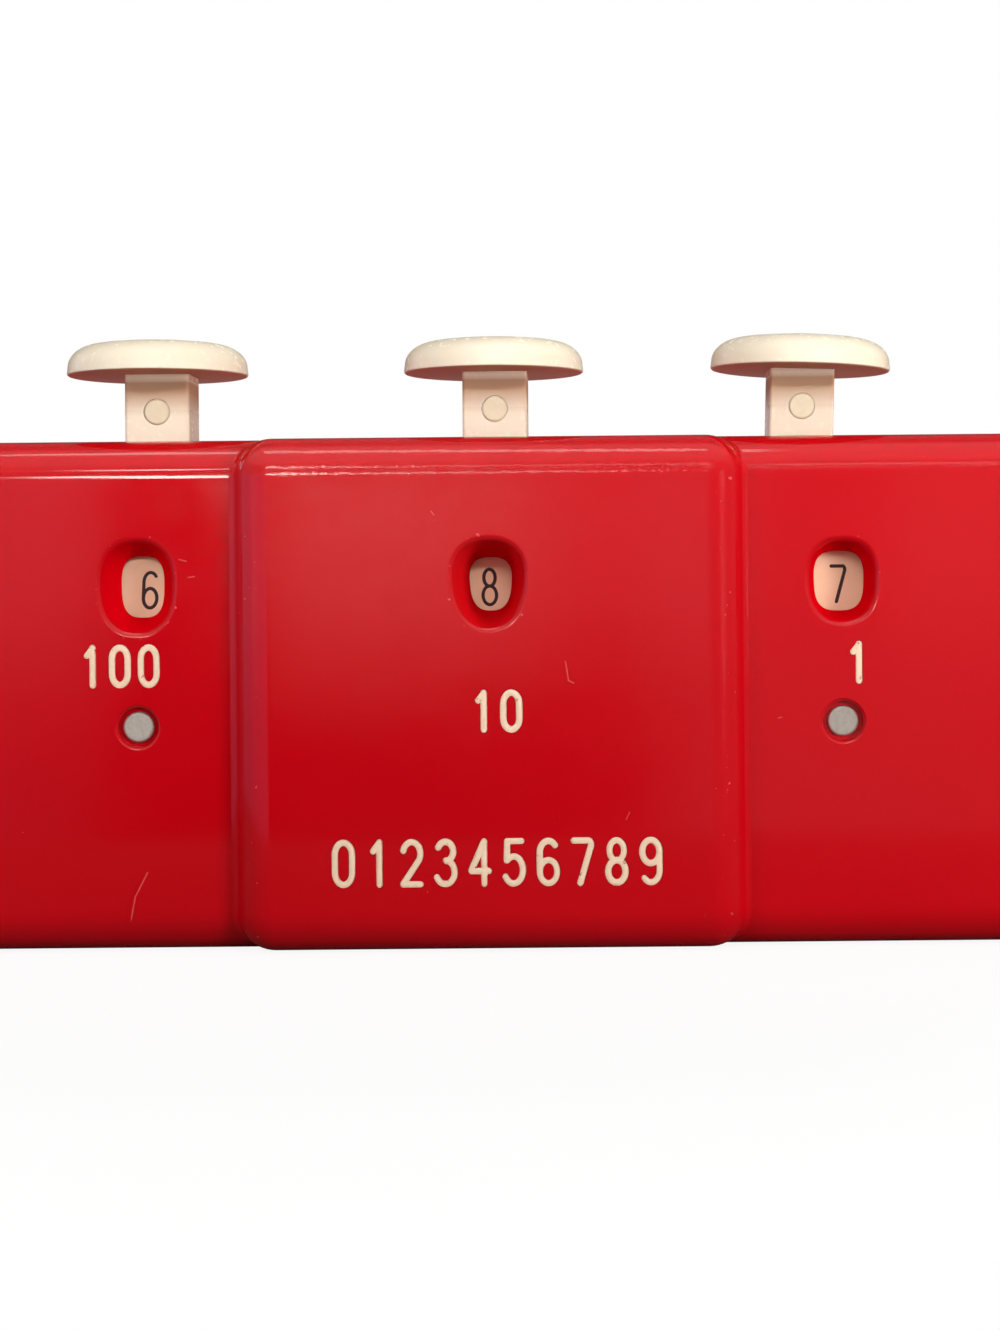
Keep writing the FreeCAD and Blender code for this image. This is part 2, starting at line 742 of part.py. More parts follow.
def make_ratchet(column):
    """Ten saw teeth whose radial faces look up at the pawl on the driven side."""
    name = column["name"]
    hand = column["hand"]
    level = (RATCHET_FACE, WHEEL_BACK)
    root = "ratchet_root_dia / 2"
    inside = f"{root} - root_in"

    def corner(reach, angle):
        across, up = polar(reach, "0", angle)
        return (f"({hand}) * ({across})", up)

    body = new_body(f"{name}_ratchet")
    pad_front(body, f"{name}_ratchet_disc", level, circle=("0", "0", "ratchet_root_dia"))
    tooth = pad_front(
        body, f"{name}_ratchet_tooth", level,
        corners=[
            corner(inside, HALF_STEP),
            corner("ratchet_dia / 2", HALF_STEP),
            corner(root, -HALF_STEP),
            corner(inside, -HALF_STEP),
        ],
    )
    repeat_round(body, f"{name}_ratchet_teeth", tooth, tooth.Profile[0])
    pocket_front(body, f"{name}_ratchet_square", level, corners=square("square_wide / 2 + seat_gap"))
    finish(place_on_axle(body, column), f"{name}_ratchet")


def make_axle(column):
    """A plain pin. Its front end shows in the case's face, except on the raised block."""
    name = column["name"]
    shows = window_face(column) == SIDE_FACE
    sunk = f"{SIDE_FACE} + axle_sunk" if shows else f"{BOSS_TIP} - blind_deep / 2"
    body = new_body(f"{name}_axle")
    pad_front(body, f"{name}_axle_rod", (sunk, f"{COVER_FACE} + axle_grip"), circle=("0", "0", "axle_dia"))
    face = body.Tip.Shape.BoundBox.YMin
    round_edges(body, f"{name}_axle_end", "axle_end_round",
                lambda edge: box_of(edge).YMax - face < TINY)
    finish(place_on_axle(body, column), f"{name}_axle")

    half_gap = "side_gap / 2"
    washer = new_body(f"{name}_washer")
    plane = (f"{DIAL_FACE} - {half_gap} - washer_thick", f"{DIAL_FACE} - {half_gap}")
    pad_front(washer, f"{name}_washer_disc", plane, circle=("0", "0", "washer_dia"))
    pocket_front(washer, f"{name}_washer_hole", plane, circle=("0", "0", "axle_dia + 2 * run_gap"))
    finish(place_on_axle(washer, column), f"{name}_axle_washer")


# --- Buttons and carriages -------------------------------------------------------------

def lean(column, thing, turned=False):
    """Moves a piece that was drawn about the lean point to its place, and tilts it."""
    name = column["name"]
    tie(thing, Base_x=f"{column['x']} + {column['shift']}", Base_y=BLADE_MIDDLE, Base_z=LEAN_RISE)
    if turned or name == "cents":
        thing.Placement.Rotation = FreeCAD.Rotation(FreeCAD.Vector(0, 1, 0), SIZES["cents_lean"])
        thing.setExpression("Placement.Rotation.Angle", tied("cents_lean"))
    return thing


def make_button(column):
    """The round cap on its square stem, with a pocket for the carriage's tongue."""
    name = column["name"]
    body = new_body(f"{name}_button_form")
    foot = f"{CAP_FOOT} - {LEAN_RISE}"
    sketch = sketch_at(body, f"{name}_cap_sketch", "XY_Plane", foot)
    draw_circle(sketch, "0", "0", "cap_dia")
    add_feature(body, "Pad", sketch, f"{name}_cap", "cap_thick")
    top = body.Tip.Shape.BoundBox.ZMax
    round_edges(body, f"{name}_cap_edge", "cap_round", lambda edge: top - box_of(edge).ZMin < TINY)

    half = "(stem_wide / 2)"
    sketch = sketch_at(body, f"{name}_stem_sketch", "XY_Plane", foot)
    draw_outline(sketch, rectangle((f"-{half}", half), (f"-{half}", half)))
    stem = add_feature(body, "Pad", sketch, f"{name}_stem", f"{CAP_FOOT} - {STEM_FOOT} - foot_gap")
    stem.Reversed = True
    doc.recompute()
    round_edges(body, f"{name}_stem_edges", "stem_round", lambda edge: along(edge, "z"))

    wide = "(tongue_wide / 2 + pocket_gap)"
    deep = "(blade_thick / 2 + pocket_gap)"
    pocket = slab(
        f"{name}_pocket", (f"-{wide}", wide), (f"-{deep}", deep),
        (f"{STEM_FOOT} - {LEAN_RISE} - cut_past", f"{TONGUE_TOP} + pocket_gap - {LEAN_RISE}"),
    )
    hole = rod(f"{name}_pin_hole", "0", f"{PIN_RISE} - {LEAN_RISE}",
               (f"-{half} - cut_past", f"{half} + cut_past"), "pin_dia + 2 * seat_gap")
    finish(lean(column, cut(f"{name}_button", body, [pocket, hole])), f"{name}_button")

    pin = new_body(f"{name}_button_pin")
    pad_front(pin, f"{name}_pin_rod", (f"-{half} - pin_proud", half),
              circle=("0", f"{PIN_RISE} - {LEAN_RISE}", "pin_dia"))
    face = pin.Tip.Shape.BoundBox.YMin
    round_edges(pin, f"{name}_pin_end", "pin_end_round", lambda edge: box_of(edge).YMax - face < TINY)
    finish(lean(column, pin), f"{name}_button_pin")


def make_carriage(column):
    """The sliding blade: tongue above, slot round the axle's boss, ear for the pawl."""
    name = column["name"]
    hand = column["hand"]
    shift = column["shift"]
    level = (BLADE_FACE, BLADE_BACK)

    foot = f"{BLADE_FOOT} - {AXLE_RISE}"
    top = f"{STEM_FOOT} - {AXLE_RISE}"
    tongue_top = f"{TONGUE_TOP} - {AXLE_RISE}"
    ear_top = "anchor_up + ear_over"

    def out(reach):
        return f"({hand}) * {reach}"

    half_tongue = out("tongue_wide / 2")
    body = new_body(f"{name}_blade")
    pad_front(body, f"{name}_blade_pad", level, corners=[
        (out("(-blade_half)"), foot),
        (out("blade_half"), foot),
        (out("blade_half"), "ear_foot"),
        (out(EAR_REACH), "ear_foot"),
        (out(EAR_REACH), ear_top),
        (out("blade_half"), ear_top),
        (out("blade_half"), top),
        (f"{shift} + {half_tongue}", top),
        (f"{shift} + {half_tongue}", tongue_top),
        (f"{shift} - {half_tongue}", tongue_top),
        (f"{shift} - {half_tongue}", top),
        (out("(-blade_half)"), top),
    ])
    inner = SIZES["blade_half"] - TINY
    round_edges(
        body, f"{name}_blade_corners", f"min(blade_round; ({top} - ({ear_top})) / 3)",
        lambda edge: along(edge, "y") and abs(box_of(edge).XMin) > inner,
    )
    wide = "(bearing_boss_dia + 2 * side_gap)"
    pocket_front(body, f"{name}_slot_foot", level, circle=("0", "0", wide))
    pocket_front(body, f"{name}_slot_head", level, circle=("0", "travel", wide))
    pocket_front(body, f"{name}_slot_run", level,
                 corners=rectangle((f"-{wide} / 2", f"{wide} / 2"), ("0", "travel")))
    pocket_front(body, f"{name}_pin_seat", level,
                 circle=(out(PIVOT_OUT), "pawl_pivot_up", "pawl_pin_dia + 2 * seat_gap"))
    pocket_front(body, f"{name}_tongue_hole", level,
                 circle=(shift, f"{PIN_RISE} - {AXLE_RISE}", "pin_dia + 2 * pocket_gap"))
    place_on_axle(body, column)

    x = column["x"]
    peg = post(f"{name}_blade_peg", x, BLADE_MIDDLE,
               (f"{BLADE_FOOT} - peg_tall", f"{BLADE_FOOT} + root_in"), "blade_peg_dia")
    anchor = rod(f"{name}_anchor", f"{x} + {out(ANCHOR_OUT)}", f"{AXLE_RISE} + anchor_up",
                 (PAWL_FACE, f"{BLADE_FACE} + root_in"), "anchor_dia")
    finish(fuse(f"{name}_carriage", [body, peg, anchor]), f"{name}_carriage")


def make_pawl(column):
    """The pivoting hook that pushes one ratchet tooth down, and its pivot pin."""
    name = column["name"]
    hand = column["hand"]
    level = (PAWL_FACE, WHEEL_BACK)

    def spot(across, up):
        return (f"({hand}) * ({across})", up)

    tip_out, tip_up = PAWL_TIP
    pivot = spot(PIVOT_OUT, "pawl_pivot_up")
    tip = spot(tip_out, tip_up)
    eye_half = "pawl_eye_dia / 2"
    tip_half = "pawl_tip_dia / 2"
    body = new_body(f"{name}_pawl")
    pad_front(body, f"{name}_pawl_eye", level, circle=(*pivot, "pawl_eye_dia"))
    pad_front(body, f"{name}_pawl_arm", level, corners=[
        spot(f"{PIVOT_OUT} - {eye_half}", "pawl_pivot_up"),
        spot(f"{PIVOT_OUT} + {eye_half}", "pawl_pivot_up"),
        spot(f"{PIVOT_OUT} + root_in", f"{tip_up} + pawl_hook_tall"),
        spot(f"{tip_out} + {tip_half} * cos(45)", f"{tip_up} - {tip_half} * sin(45)"),
        spot(tip_out, tip_up),
        spot(f"{tip_out} - {tip_half} * cos(45)", f"{tip_up} + {tip_half} * sin(45)"),
        spot(f"{PIVOT_OUT} - {eye_half}", f"{tip_up} + pawl_hook_tall + root_in"),
    ])
    pad_front(body, f"{name}_pawl_tip", level, circle=(*tip, "pawl_tip_dia"))
    pocket_front(body, f"{name}_pawl_hole", level, circle=(*pivot, "pawl_pin_dia + 2 * run_gap"))
    finish(place_on_axle(body, column), f"{name}_pawl")

    pin = new_body(f"{name}_pawl_pin")
    pad_front(pin, f"{name}_pawl_pin_rod", (f"{PAWL_FACE} - side_gap / 2", BLADE_BACK),
              circle=(*pivot, "pawl_pin_dia"))
    pad_front(pin, f"{name}_pawl_pin_head",
              (f"{PAWL_FACE} - side_gap / 2 - pawl_pin_head_thick", f"{PAWL_FACE} - side_gap / 2"),
              circle=(*pivot, "pawl_pin_head_dia"))
    pad_front(pin, f"{name}_pawl_pin_collar", (f"{WHEEL_BACK} + side_gap / 2", BLADE_FACE),
              circle=(*pivot, "pawl_pin_head_dia"))
    finish(place_on_axle(pin, column), f"{name}_pawl_pin")


def make_pawl_spring(column):
    """A leaf hooked on the carriage's anchor, lying against the pawl's outer side."""
    name = column["name"]
    hand = column["hand"]
    middle = f"({PAWL_FACE} + pawl_thick / 2)"
    level = (f"{middle} - pawl_leaf_wide / 2", f"{middle} + pawl_leaf_wide / 2")
    rim = "anchor_loop_dia / 2"
    foot_out = f"{PIVOT_OUT} + pawl_eye_dia / 2"
    foot_up = "pawl_pivot_up - pawl_eye_dia"

    def spot(across, up):
        return (f"({hand}) * ({across})", up)

    body = new_body(f"{name}_pawl_spring")
    pad_front(body, f"{name}_pawl_spring_loop", level,
              circle=(*spot(ANCHOR_OUT, "anchor_up"), "anchor_loop_dia"))
    pad_front(body, f"{name}_pawl_spring_leaf", level, corners=[
        spot(f"{ANCHOR_OUT} + {rim}", "anchor_up"),
        spot(f"{ANCHOR_OUT} + {rim} - leaf_thick", "anchor_up"),
        spot(foot_out, foot_up),
        spot(f"{foot_out} + leaf_thick", foot_up),
    ])
    pocket_front(body, f"{name}_pawl_spring_eye", level,
                 circle=(*spot(ANCHOR_OUT, "anchor_up"), "anchor_dia + 2 * seat_gap"))
    finish(place_on_axle(body, column), f"{name}_pawl_spring")


def make_click_spring(column):
    """A leaf screwed to the cover's post, whose end stops the ratchet from turning back."""
    name = column["name"]
    hand = column["hand"]
    level = (RATCHET_FACE, WHEEL_BACK)

    def spot(across, up):
        return (f"-({hand}) * ({across})", up)

    tip_out, tip_down = CLICK_TIP
    foot_up = f"({CLICK_POST_RISE} - {AXLE_RISE})"
    foot = spot("click_post_out", foot_up)
    body = new_body(f"{name}_click_spring")
    pad_front(body, f"{name}_click_foot", (f"{WHEEL_BACK} - click_foot_thick", WHEEL_BACK),
              circle=(*foot, "click_post_dia"))
    root_up = f"({foot_up} + click_leaf_rise)"
    pad_front(body, f"{name}_click_leaf", level, corners=[
        spot("click_post_out - click_leaf_thick", root_up),
        spot(tip_out, f"-{tip_down}"),
        spot(f"{tip_out} + click_leaf_thick", f"-{tip_down} - click_leaf_thick / 2"),
        spot("click_post_out", root_up),
    ])
    pocket_front(body, f"{name}_click_hole", (f"{WHEEL_BACK} - click_foot_thick", WHEEL_BACK),
                 circle=(*foot, "click_screw_dia + 2 * seat_gap"))
    finish(place_on_axle(body, column), f"{name}_click_spring")

    across = f"{column['x']} - ({hand}) * click_post_out"
    under_head = f"({WHEEL_BACK} - click_foot_thick - seat_gap)"
    head = rod(f"{name}_click_screw_head", across, CLICK_POST_RISE,
               (f"{under_head} - click_screw_head_thick", under_head), "click_screw_head_dia")
    shank = rod(f"{name}_click_screw_shank", across, CLICK_POST_RISE,
                (f"{under_head} - click_screw_head_thick / 2",
                 f"{WHEEL_BACK} + click_screw_deep - seat_gap"),
                "click_screw_dia")
    return fuse(f"{name}_click_screw", [head, shank])


def make_return_spring(column):
    """The coil between the case's floor and the carriage."""
    name = column["name"]
    foot = "(wall + seat_thick + seat_gap + wire_dia / 2)"
    head = f"({BLADE_FOOT} - seat_gap - wire_dia / 2)"
    helix = doc.addObject("Part::Helix", f"{name}_coil_line")
    tie(helix, Radius="coil_dia / 2", Height=f"{head} - {foot}", Pitch=f"({head} - {foot}) / coil_turns")
    wire = doc.addObject("Part::Circle", f"{name}_coil_wire")
    wire.Placement.Rotation = FreeCAD.Rotation(FreeCAD.Vector(1, 0, 0), 90)
    tie(wire, Radius="wire_dia / 2", Base_x="coil_dia / 2")
    coil = doc.addObject("Part::Sweep", f"{name}_return_spring")
    coil.Sections = [wire]
    coil.Spine = (helix, ["Edge1"])
    coil.Solid = True
    coil.Frenet = True
    tie(coil, Base_x=column["x"], Base_y=BLADE_MIDDLE, Base_z=foot)
    finish(coil, f"{name}_return_spring")


# --- The whole adder -------------------------------------------------------------------

def check_document():
    """Stops if any object failed, or if a sub-part is not a valid solid."""
    for thing in doc.Objects:
        if any(word in thing.State for word in ("Invalid", "Error")):
            raise RuntimeError(f"{thing.Label} failed: {thing.State}")
    for thing in sub_parts:
        shape = thing.Shape
        if shape.isNull() or not shape.isValid() or not shape.Solids:
            raise RuntimeError(f"{thing.Label} is not a valid solid")


def write_steps():
    os.makedirs("parts", exist_ok=True)
    for thing in sub_parts:
        thing.Shape.exportStep(f"parts/{thing.Label}.step")
        print(f"{thing.Label:26s} {len(thing.Shape.Solids)} solid(s) {thing.Shape.Volume:10.1f} mm3")


def main():
    fill_sheet()
    make_front_shell()
    make_back_cover()
    make_cover_screws()
    click_screws = []
    for column in COLUMNS:
        make_button(column)
        make_carriage(column)
        make_pawl(column)
        make_pawl_spring(column)
        make_return_spring(column)
        make_dial(column)
        make_carry_wheel(column)
        make_ratchet(column)
        make_axle(column)
        click_screws.append(make_click_spring(column))
    click_set = finish(doc.addObject("Part::Compound", "click_spring_screws"), "click_spring_screws")
    click_set.Links = click_screws
    doc.recompute()
    check_document()
    write_steps()


main()
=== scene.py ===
import math
import random

import bmesh
import bpy
from mathutils import Matrix, Vector


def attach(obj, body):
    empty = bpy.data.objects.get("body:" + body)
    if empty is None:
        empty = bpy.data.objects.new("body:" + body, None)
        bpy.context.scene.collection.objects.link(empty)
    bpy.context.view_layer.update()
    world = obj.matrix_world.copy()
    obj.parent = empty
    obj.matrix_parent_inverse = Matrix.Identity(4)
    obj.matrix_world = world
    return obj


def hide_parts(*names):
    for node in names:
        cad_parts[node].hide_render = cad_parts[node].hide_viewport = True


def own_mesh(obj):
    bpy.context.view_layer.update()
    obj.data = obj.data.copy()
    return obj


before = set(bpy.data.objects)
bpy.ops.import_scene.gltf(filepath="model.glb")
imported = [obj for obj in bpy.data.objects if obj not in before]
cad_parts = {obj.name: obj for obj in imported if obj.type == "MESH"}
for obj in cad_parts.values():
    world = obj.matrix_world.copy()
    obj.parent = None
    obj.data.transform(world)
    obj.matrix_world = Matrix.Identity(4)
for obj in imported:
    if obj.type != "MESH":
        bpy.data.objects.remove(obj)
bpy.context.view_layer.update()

# Shapes are drawn in millimetres, and made metres as each piece is finished. +X is the user's
# right, -Y faces the user and +Z is up.
MM = 0.001
TINY = 1e-4

# The case: its outline, the raised block's half width, the faces of the sides and the block, the
# plane where the cover meets the shell, the cover's back, the rounding of the case's edges and of
# the valleys beside the block, and the wall with the rounding inside it.
HALF_WIDE, TALL = 63.5, 57.0
HALF_BLOCK = 28.5
SIDE_FACE, BLOCK_FACE = -11.5, -14.5
COVER_FACE, COVER_BACK = 11.5, 14.5
EDGE_ROUND, VALLEY_ROUND = 4.4, 1.1
WALL, INNER_ROUND = 2.0, 2.4

# Inside it: how deep the windows' eyes, the axle bosses' tips, the dials' faces and the button
# stems lie, and how high the axles and the windows stand.
EYE_PLANE, BOSS_TIP, DIAL_FACE, STEM_DEPTH = -7.3, -7.3, -6.9, 1.5
AXLE_RISE, WINDOW_RISE = 25.0, 40.6

# The buttons' round caps.
CAP_RADIUS, CAP_FOOT, CAP_TOP = 10.4, 65.0, 69.1

# The columns: the hand that each dial turns, the digit it rests at and how many degrees it lies
# off it, how far the button stands off its column, its cap off the stem, and its lean in degrees.
# Of the window: the width and height of its bowl and of its eye, how square each is, and how it
# narrows downwards. Of the number below it: its text, place across and up, and height.
COLUMNS = [
    {"name": "dollars", "x": -39.15, "face": SIDE_FACE, "hand": 1, "digit": 6, "slack": -2.7,
     "shift": 0.8, "aside": -0.45, "lean": 0.0, "bowl": (9.1, 11.3), "eye": (4.85, 6.9),
     "recess_power": 2.35, "eye_power": 2.9, "narrowing": 0.02,
     "number": "100", "number_place": (-41.1, 31.8), "number_tall": 4.9},
    {"name": "dimes", "x": 0.0, "face": BLOCK_FACE, "hand": -1, "digit": 8, "slack": 0.6,
     "shift": 0.4, "aside": -0.2, "lean": 0.0, "bowl": (8.9, 10.8), "eye": (4.7, 6.0),
     "recess_power": 2.3, "eye_power": 2.7, "narrowing": 0.1,
     "number": "10", "number_place": (0.8, 26.6), "number_tall": 4.8},
    {"name": "cents", "x": 39.15, "face": SIDE_FACE, "hand": 1, "digit": 7, "slack": 0.0,
     "shift": -3.55, "aside": 0.0, "lean": 1.7, "bowl": (8.5, 10.2), "eye": (5.6, 6.7),
     "recess_power": 2.4, "eye_power": 3.0, "narrowing": 0.03,
     "number": "1", "number_place": (40.75, 31.5), "number_tall": 4.8},
]
# The cover's screws, across and up.
SCREW_SPOTS = [(x, z) for x in (-58.0, -19.575, 19.575, 58.0) for z in (50.0, 6.0)]


# --- Meshes ----------------------------------------------------------------------------

def as_object(bm, name):
    """A closed bmesh made an object of the scene, with its faces turned outwards."""
    bmesh.ops.recalc_face_normals(bm, faces=bm.faces)
    mesh = bpy.data.meshes.new(name)
    bm.to_mesh(mesh)
    bm.free()
    piece = bpy.data.objects.new(name, mesh)
    bpy.context.scene.collection.objects.link(piece)
    return piece


def reshape(piece, bm, operation):
    """Joins the closed forms of a bmesh to a piece, or cuts them out of it."""
    tool = as_object(bm, "tool")
    change = piece.modifiers.new("shape", "BOOLEAN")
    change.operation = operation
    change.object = tool
    change.solver = "EXACT"
    change.use_self = True
    seen = piece.evaluated_get(bpy.context.evaluated_depsgraph_get())
    shaped = bpy.data.meshes.new_from_object(seen)
    piece.modifiers.clear()
    bpy.data.objects.remove(tool)
    whole = bmesh.new()
    whole.from_mesh(shaped)
    bmesh.ops.remove_doubles(whole, verts=whole.verts, dist=TINY)
    bmesh.ops.dissolve_degenerate(whole, edges=whole.edges, dist=TINY)
    whole.to_mesh(shaped)
    whole.free()
    piece.data = shaped


def finish_piece(piece, body, material, stands_for=(), sharp=30):
    """Makes a piece metres, smooths it between its sharp edges, and mounts it on its body."""
    piece.data.transform(Matrix.Scale(MM, 4))
    piece.data.materials.clear()
    piece.data.materials.append(material)
    piece.data.shade_smooth()
    piece.data.set_sharp_from_angle(angle=math.radians(sharp))
    piece.modifiers.new("even_shading", "WEIGHTED_NORMAL").keep_sharp = True
    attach(piece, body)
    if stands_for:
        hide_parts(*stands_for)


def slab(bm, low, high):
    """Adds a square-edged block between two corners, and returns its vertices."""
    low, high = Vector(low), Vector(high)
    place = Matrix.Translation((low + high) / 2) @ Matrix.Diagonal((*(high - low), 1))
    return bmesh.ops.create_cube(bm, size=1.0, matrix=place)["verts"]


def rod(bm, start, end, dia, segments=48):
    """Adds a round bar from start to end."""
    start, end = Vector(start), Vector(end)
    turn = (end - start).to_track_quat("Z", "Y").to_matrix().to_4x4()
    bmesh.ops.create_cone(
        bm, cap_ends=True, segments=segments, radius1=dia / 2, radius2=dia / 2,
        depth=(end - start).length, matrix=Matrix.Translation((start + end) / 2) @ turn,
    )


def round_edges(bm, chosen, radius, segments):
    """Rounds the edges of a bmesh for which chosen says true."""
    bmesh.ops.bevel(
        bm, geom=[edge for edge in bm.edges if chosen(edge)], offset=radius,
        offset_type="OFFSET", segments=segments, profile=0.5, affect="EDGES", material=-1,
    )


def loft(bm, rings, segments=72):
    """Adds a closed form through rings, each a function from the unit circle to its place."""
    loops = []
    for number, ring in enumerate(rings):
        is_end = number in (0, len(rings) - 1)
        made = bmesh.ops.create_circle(bm, cap_ends=is_end, segments=segments, radius=1.0)
        for vert in made["verts"]:
            vert.co = ring(vert.co.x, vert.co.y)
        loops.append({edge for vert in made["verts"] for edge in vert.link_edges})
    for one, other in zip(loops, loops[1:]):
        bmesh.ops.bridge_loops(bm, edges=list(one | other))


def stepped_rod(bm, x, z, stations):
    """Adds a round bar along the depth through stations, each a depth and a diameter."""
    def ring(depth, dia):
        return lambda c, s: Vector((x + c * dia / 2, depth, z + s * dia / 2))

    loft(bm, [ring(*station) for station in stations], segments=48)


def spun(profile, centre):
    """A bmesh turned about the vertical through the centre from a profile of (out, up) places."""
    bm = bmesh.new()
    verts = [bm.verts.new((centre[0] + out, centre[1], up)) for out, up in profile]
    edges = [bm.edges.new(pair) for pair in zip(verts, verts[1:])]
    bmesh.ops.spin(
        bm, geom=verts + edges, cent=(*centre, 0.0), axis=(0.0, 0.0, 1.0), dvec=(0.0, 0.0, 0.0),
        angle=math.tau, steps=96, use_merge=True, use_duplicate=False,
    )
    bmesh.ops.remove_doubles(bm, verts=bm.verts, dist=TINY)
    return bm


def arc(across, up, half_wide, half_tall, start, end, step=15):
    """Points along an ellipse about a middle, from the start to the end angle in degrees."""
    count = max(2, round(abs(end - start) / step))
    angles = [math.radians(start + (end - start) * number / count) for number in range(count + 1)]
    return [(across + half_wide * math.cos(a), up + half_tall * math.sin(a)) for a in angles]


# --- Numerals --------------------------------------------------------------------------

# Each numeral's strokes, in a field one wide and one tall with its foot at 0.
NUMERALS = {
    "0": [arc(0.5, 0.7, 0.5, 0.3, 180, 0) + arc(0.5, 0.3, 0.5, 0.3, 0, -180) + [(0.0, 0.7)]],
    "1": [[(0.6, 1.0), (0.6, 0.0)], [(0.24, 0.79), (0.55, 0.96)]],
    "2": [arc(0.5, 0.72, 0.5, 0.28, 165, -30) + [(0.02, 0.02)], [(0.0, 0.0), (1.0, 0.0)]],
    "3": [arc(0.47, 0.77, 0.45, 0.23, 155, -80), arc(0.46, 0.28, 0.54, 0.28, 85, -155)],
    "4": [[(0.74, 0.0), (0.74, 1.0)], [(0.7, 0.97), (0.0, 0.32)], [(0.0, 0.3), (1.0, 0.3)]],
    "5": [[(0.92, 1.0), (0.1, 1.0)], [(0.1, 0.98), (0.06, 0.55)],
          arc(0.46, 0.32, 0.54, 0.32, 135, -150)],
    "6": [arc(0.5, 0.275, 0.5, 0.275, 0, 360), arc(0.5, 0.72, 0.5, 0.28, 40, 180) + [(0.0, 0.3)]],
    "7": [[(0.0, 1.0), (0.86, 1.0)] + arc(0.86, 0.9, 0.14, 0.1, 60, -10, 35) + [(0.36, 0.0)]],
    "8": [arc(0.5, 0.76, 0.42, 0.24, -90, 270), arc(0.5, 0.265, 0.5, 0.265, 90, 450)],
    "9": [arc(0.5, 0.725, 0.5, 0.275, 0, 360), arc(0.5, 0.28, 0.5, 0.28, 220, 360) + [(1.0, 0.7)]],
}

# A stroke's round end has rings at these turns, in degrees.
END_TURNS = (25, 50, 70, 84)
# Strokes that meet differ a little in thickness, so that no two of their faces lie together.
THICKNESSES = (1.0, 0.96, 1.03)


def add_strokes(bm, strokes, dia):
    """Adds a round-ended bar along each stroke, a list of places."""
    curve = bpy.data.curves.new("strokes", "CURVE")
    curve.dimensions = "3D"
    curve.bevel_depth = dia / 2
    curve.bevel_resolution = 3
    curve.use_fill_caps = True
    turns = [math.radians(turn) for turn in END_TURNS]
    for number, places in enumerate(strokes):
        thick = THICKNESSES[number % len(THICKNESSES)]
        closed = (places[0] - places[-1]).length < TINY
        if closed:
            points = [(place, thick) for place in places[:-1]]
        else:
            first = (places[0] - places[1]).normalized() * dia / 2 * thick
            last = (places[-1] - places[-2]).normalized() * dia / 2 * thick
            points = [(places[0] + first * math.sin(turn), thick * math.cos(turn))
                      for turn in reversed(turns)]
            points += [(place, thick) for place in places]
            points += [(places[-1] + last * math.sin(turn), thick * math.cos(turn))
                       for turn in turns]
        spline = curve.splines.new("POLY")
        spline.points.add(len(points) - 1)
        for point, (place, radius) in zip(spline.points, points):
            point.co = (*place, 1.0)
            point.radius = radius
        spline.use_cyclic_u = closed
    holder = bpy.data.objects.new("strokes", curve)
    bars = bpy.data.meshes.new_from_object(holder)
    bm.from_mesh(bars)
    bmesh.ops.remove_doubles(bm, verts=bm.verts, dist=TINY)
    bpy.data.objects.remove(holder)
    bpy.data.meshes.remove(bars)


def strokes_of(text, tall, wide, pitch, place):
    """The strokes of a row of numerals, as places under a matrix that stands at its middle."""
    strokes = []
    for number, numeral in enumerate(text):
        if numeral == " ":
            continue
        middle = (number - (len(text) - 1) / 2) * pitch
        for stroke in NUMERALS[numeral]:
            strokes.append([
                place @ Vector((middle + (across - 0.5) * wide, 0.0, (up - 0.5) * tall))
                for across, up in stroke
            ])
    return strokes


# --- Materials -------------------------------------------------------------------------

def linear(hex_colour):
    """An sRGB hex colour as linear red, green, blue and full cover."""
    values = [int(hex_colour[start:start + 2], 16) / 255 for start in (1, 3, 5)]
    return (*(v / 12.92 if v <= 0.04045 else ((v + 0.055) / 1.055) ** 2.4 for v in values), 1.0)


def add(tree, kind, inputs=(), **settings):
    """Adds a shader node, makes its settings, and fills its inputs, each with a value, another
    node's output, or another node, which gives its first output."""
    node = tree.nodes.new("ShaderNode" + kind)
    for name, value in settings.items():
        setattr(node, name, value)
    for name, value in dict(inputs).items():
        if isinstance(value, bpy.types.Node):
            value = value.outputs[0]
        if isinstance(value, bpy.types.NodeSocket):
            tree.links.new(value, node.inputs[name])
        else:
            node.inputs[name].default_value = value
    return node


def new_material(name):
    """An empty material and its node tree."""
    material = bpy.data.materials.new(name)
    material.use_nodes = True
    material.node_tree.nodes.clear()
    return material, material.node_tree


def per(size_mm):
    """A texture scale that gives grains of a size in millimetres."""
    return 1.0 / (size_mm * MM)


# Marks of wear on the case: each from one place to another, with its width.
SCRATCHES = [
    ((-38.2, SIDE_FACE, 8.9), (-39.6, SIDE_FACE, 6.2), 0.16),
    ((-39.6, SIDE_FACE, 6.2), (-40.2, SIDE_FACE, 3.0), 0.16),
    ((8.4, BLOCK_FACE, 32.0), (8.7, BLOCK_FACE, 29.9), 0.13),
    ((8.7, BLOCK_FACE, 29.9), (9.3, BLOCK_FACE, 29.6), 0.13),
    ((26.4, BLOCK_FACE + 0.7, 4.1), (26.5, BLOCK_FACE + 0.7, 4.0), 0.2),
    ((-34.4, SIDE_FACE, 43.6), (-33.6, SIDE_FACE, 43.4), 0.12),
    ((-33.4, SIDE_FACE, 41.6), (-32.7, SIDE_FACE, 41.7), 0.11),
    ((-6.2, BLOCK_FACE, 48.6), (-5.9, BLOCK_FACE, 48.2), 0.14),
    ((14.9, BLOCK_FACE, 14.6), (15.3, BLOCK_FACE, 15.4), 0.1),
    ((31.9, SIDE_FACE, 25.4), (32.3, SIDE_FACE, 25.5), 0.12),
]


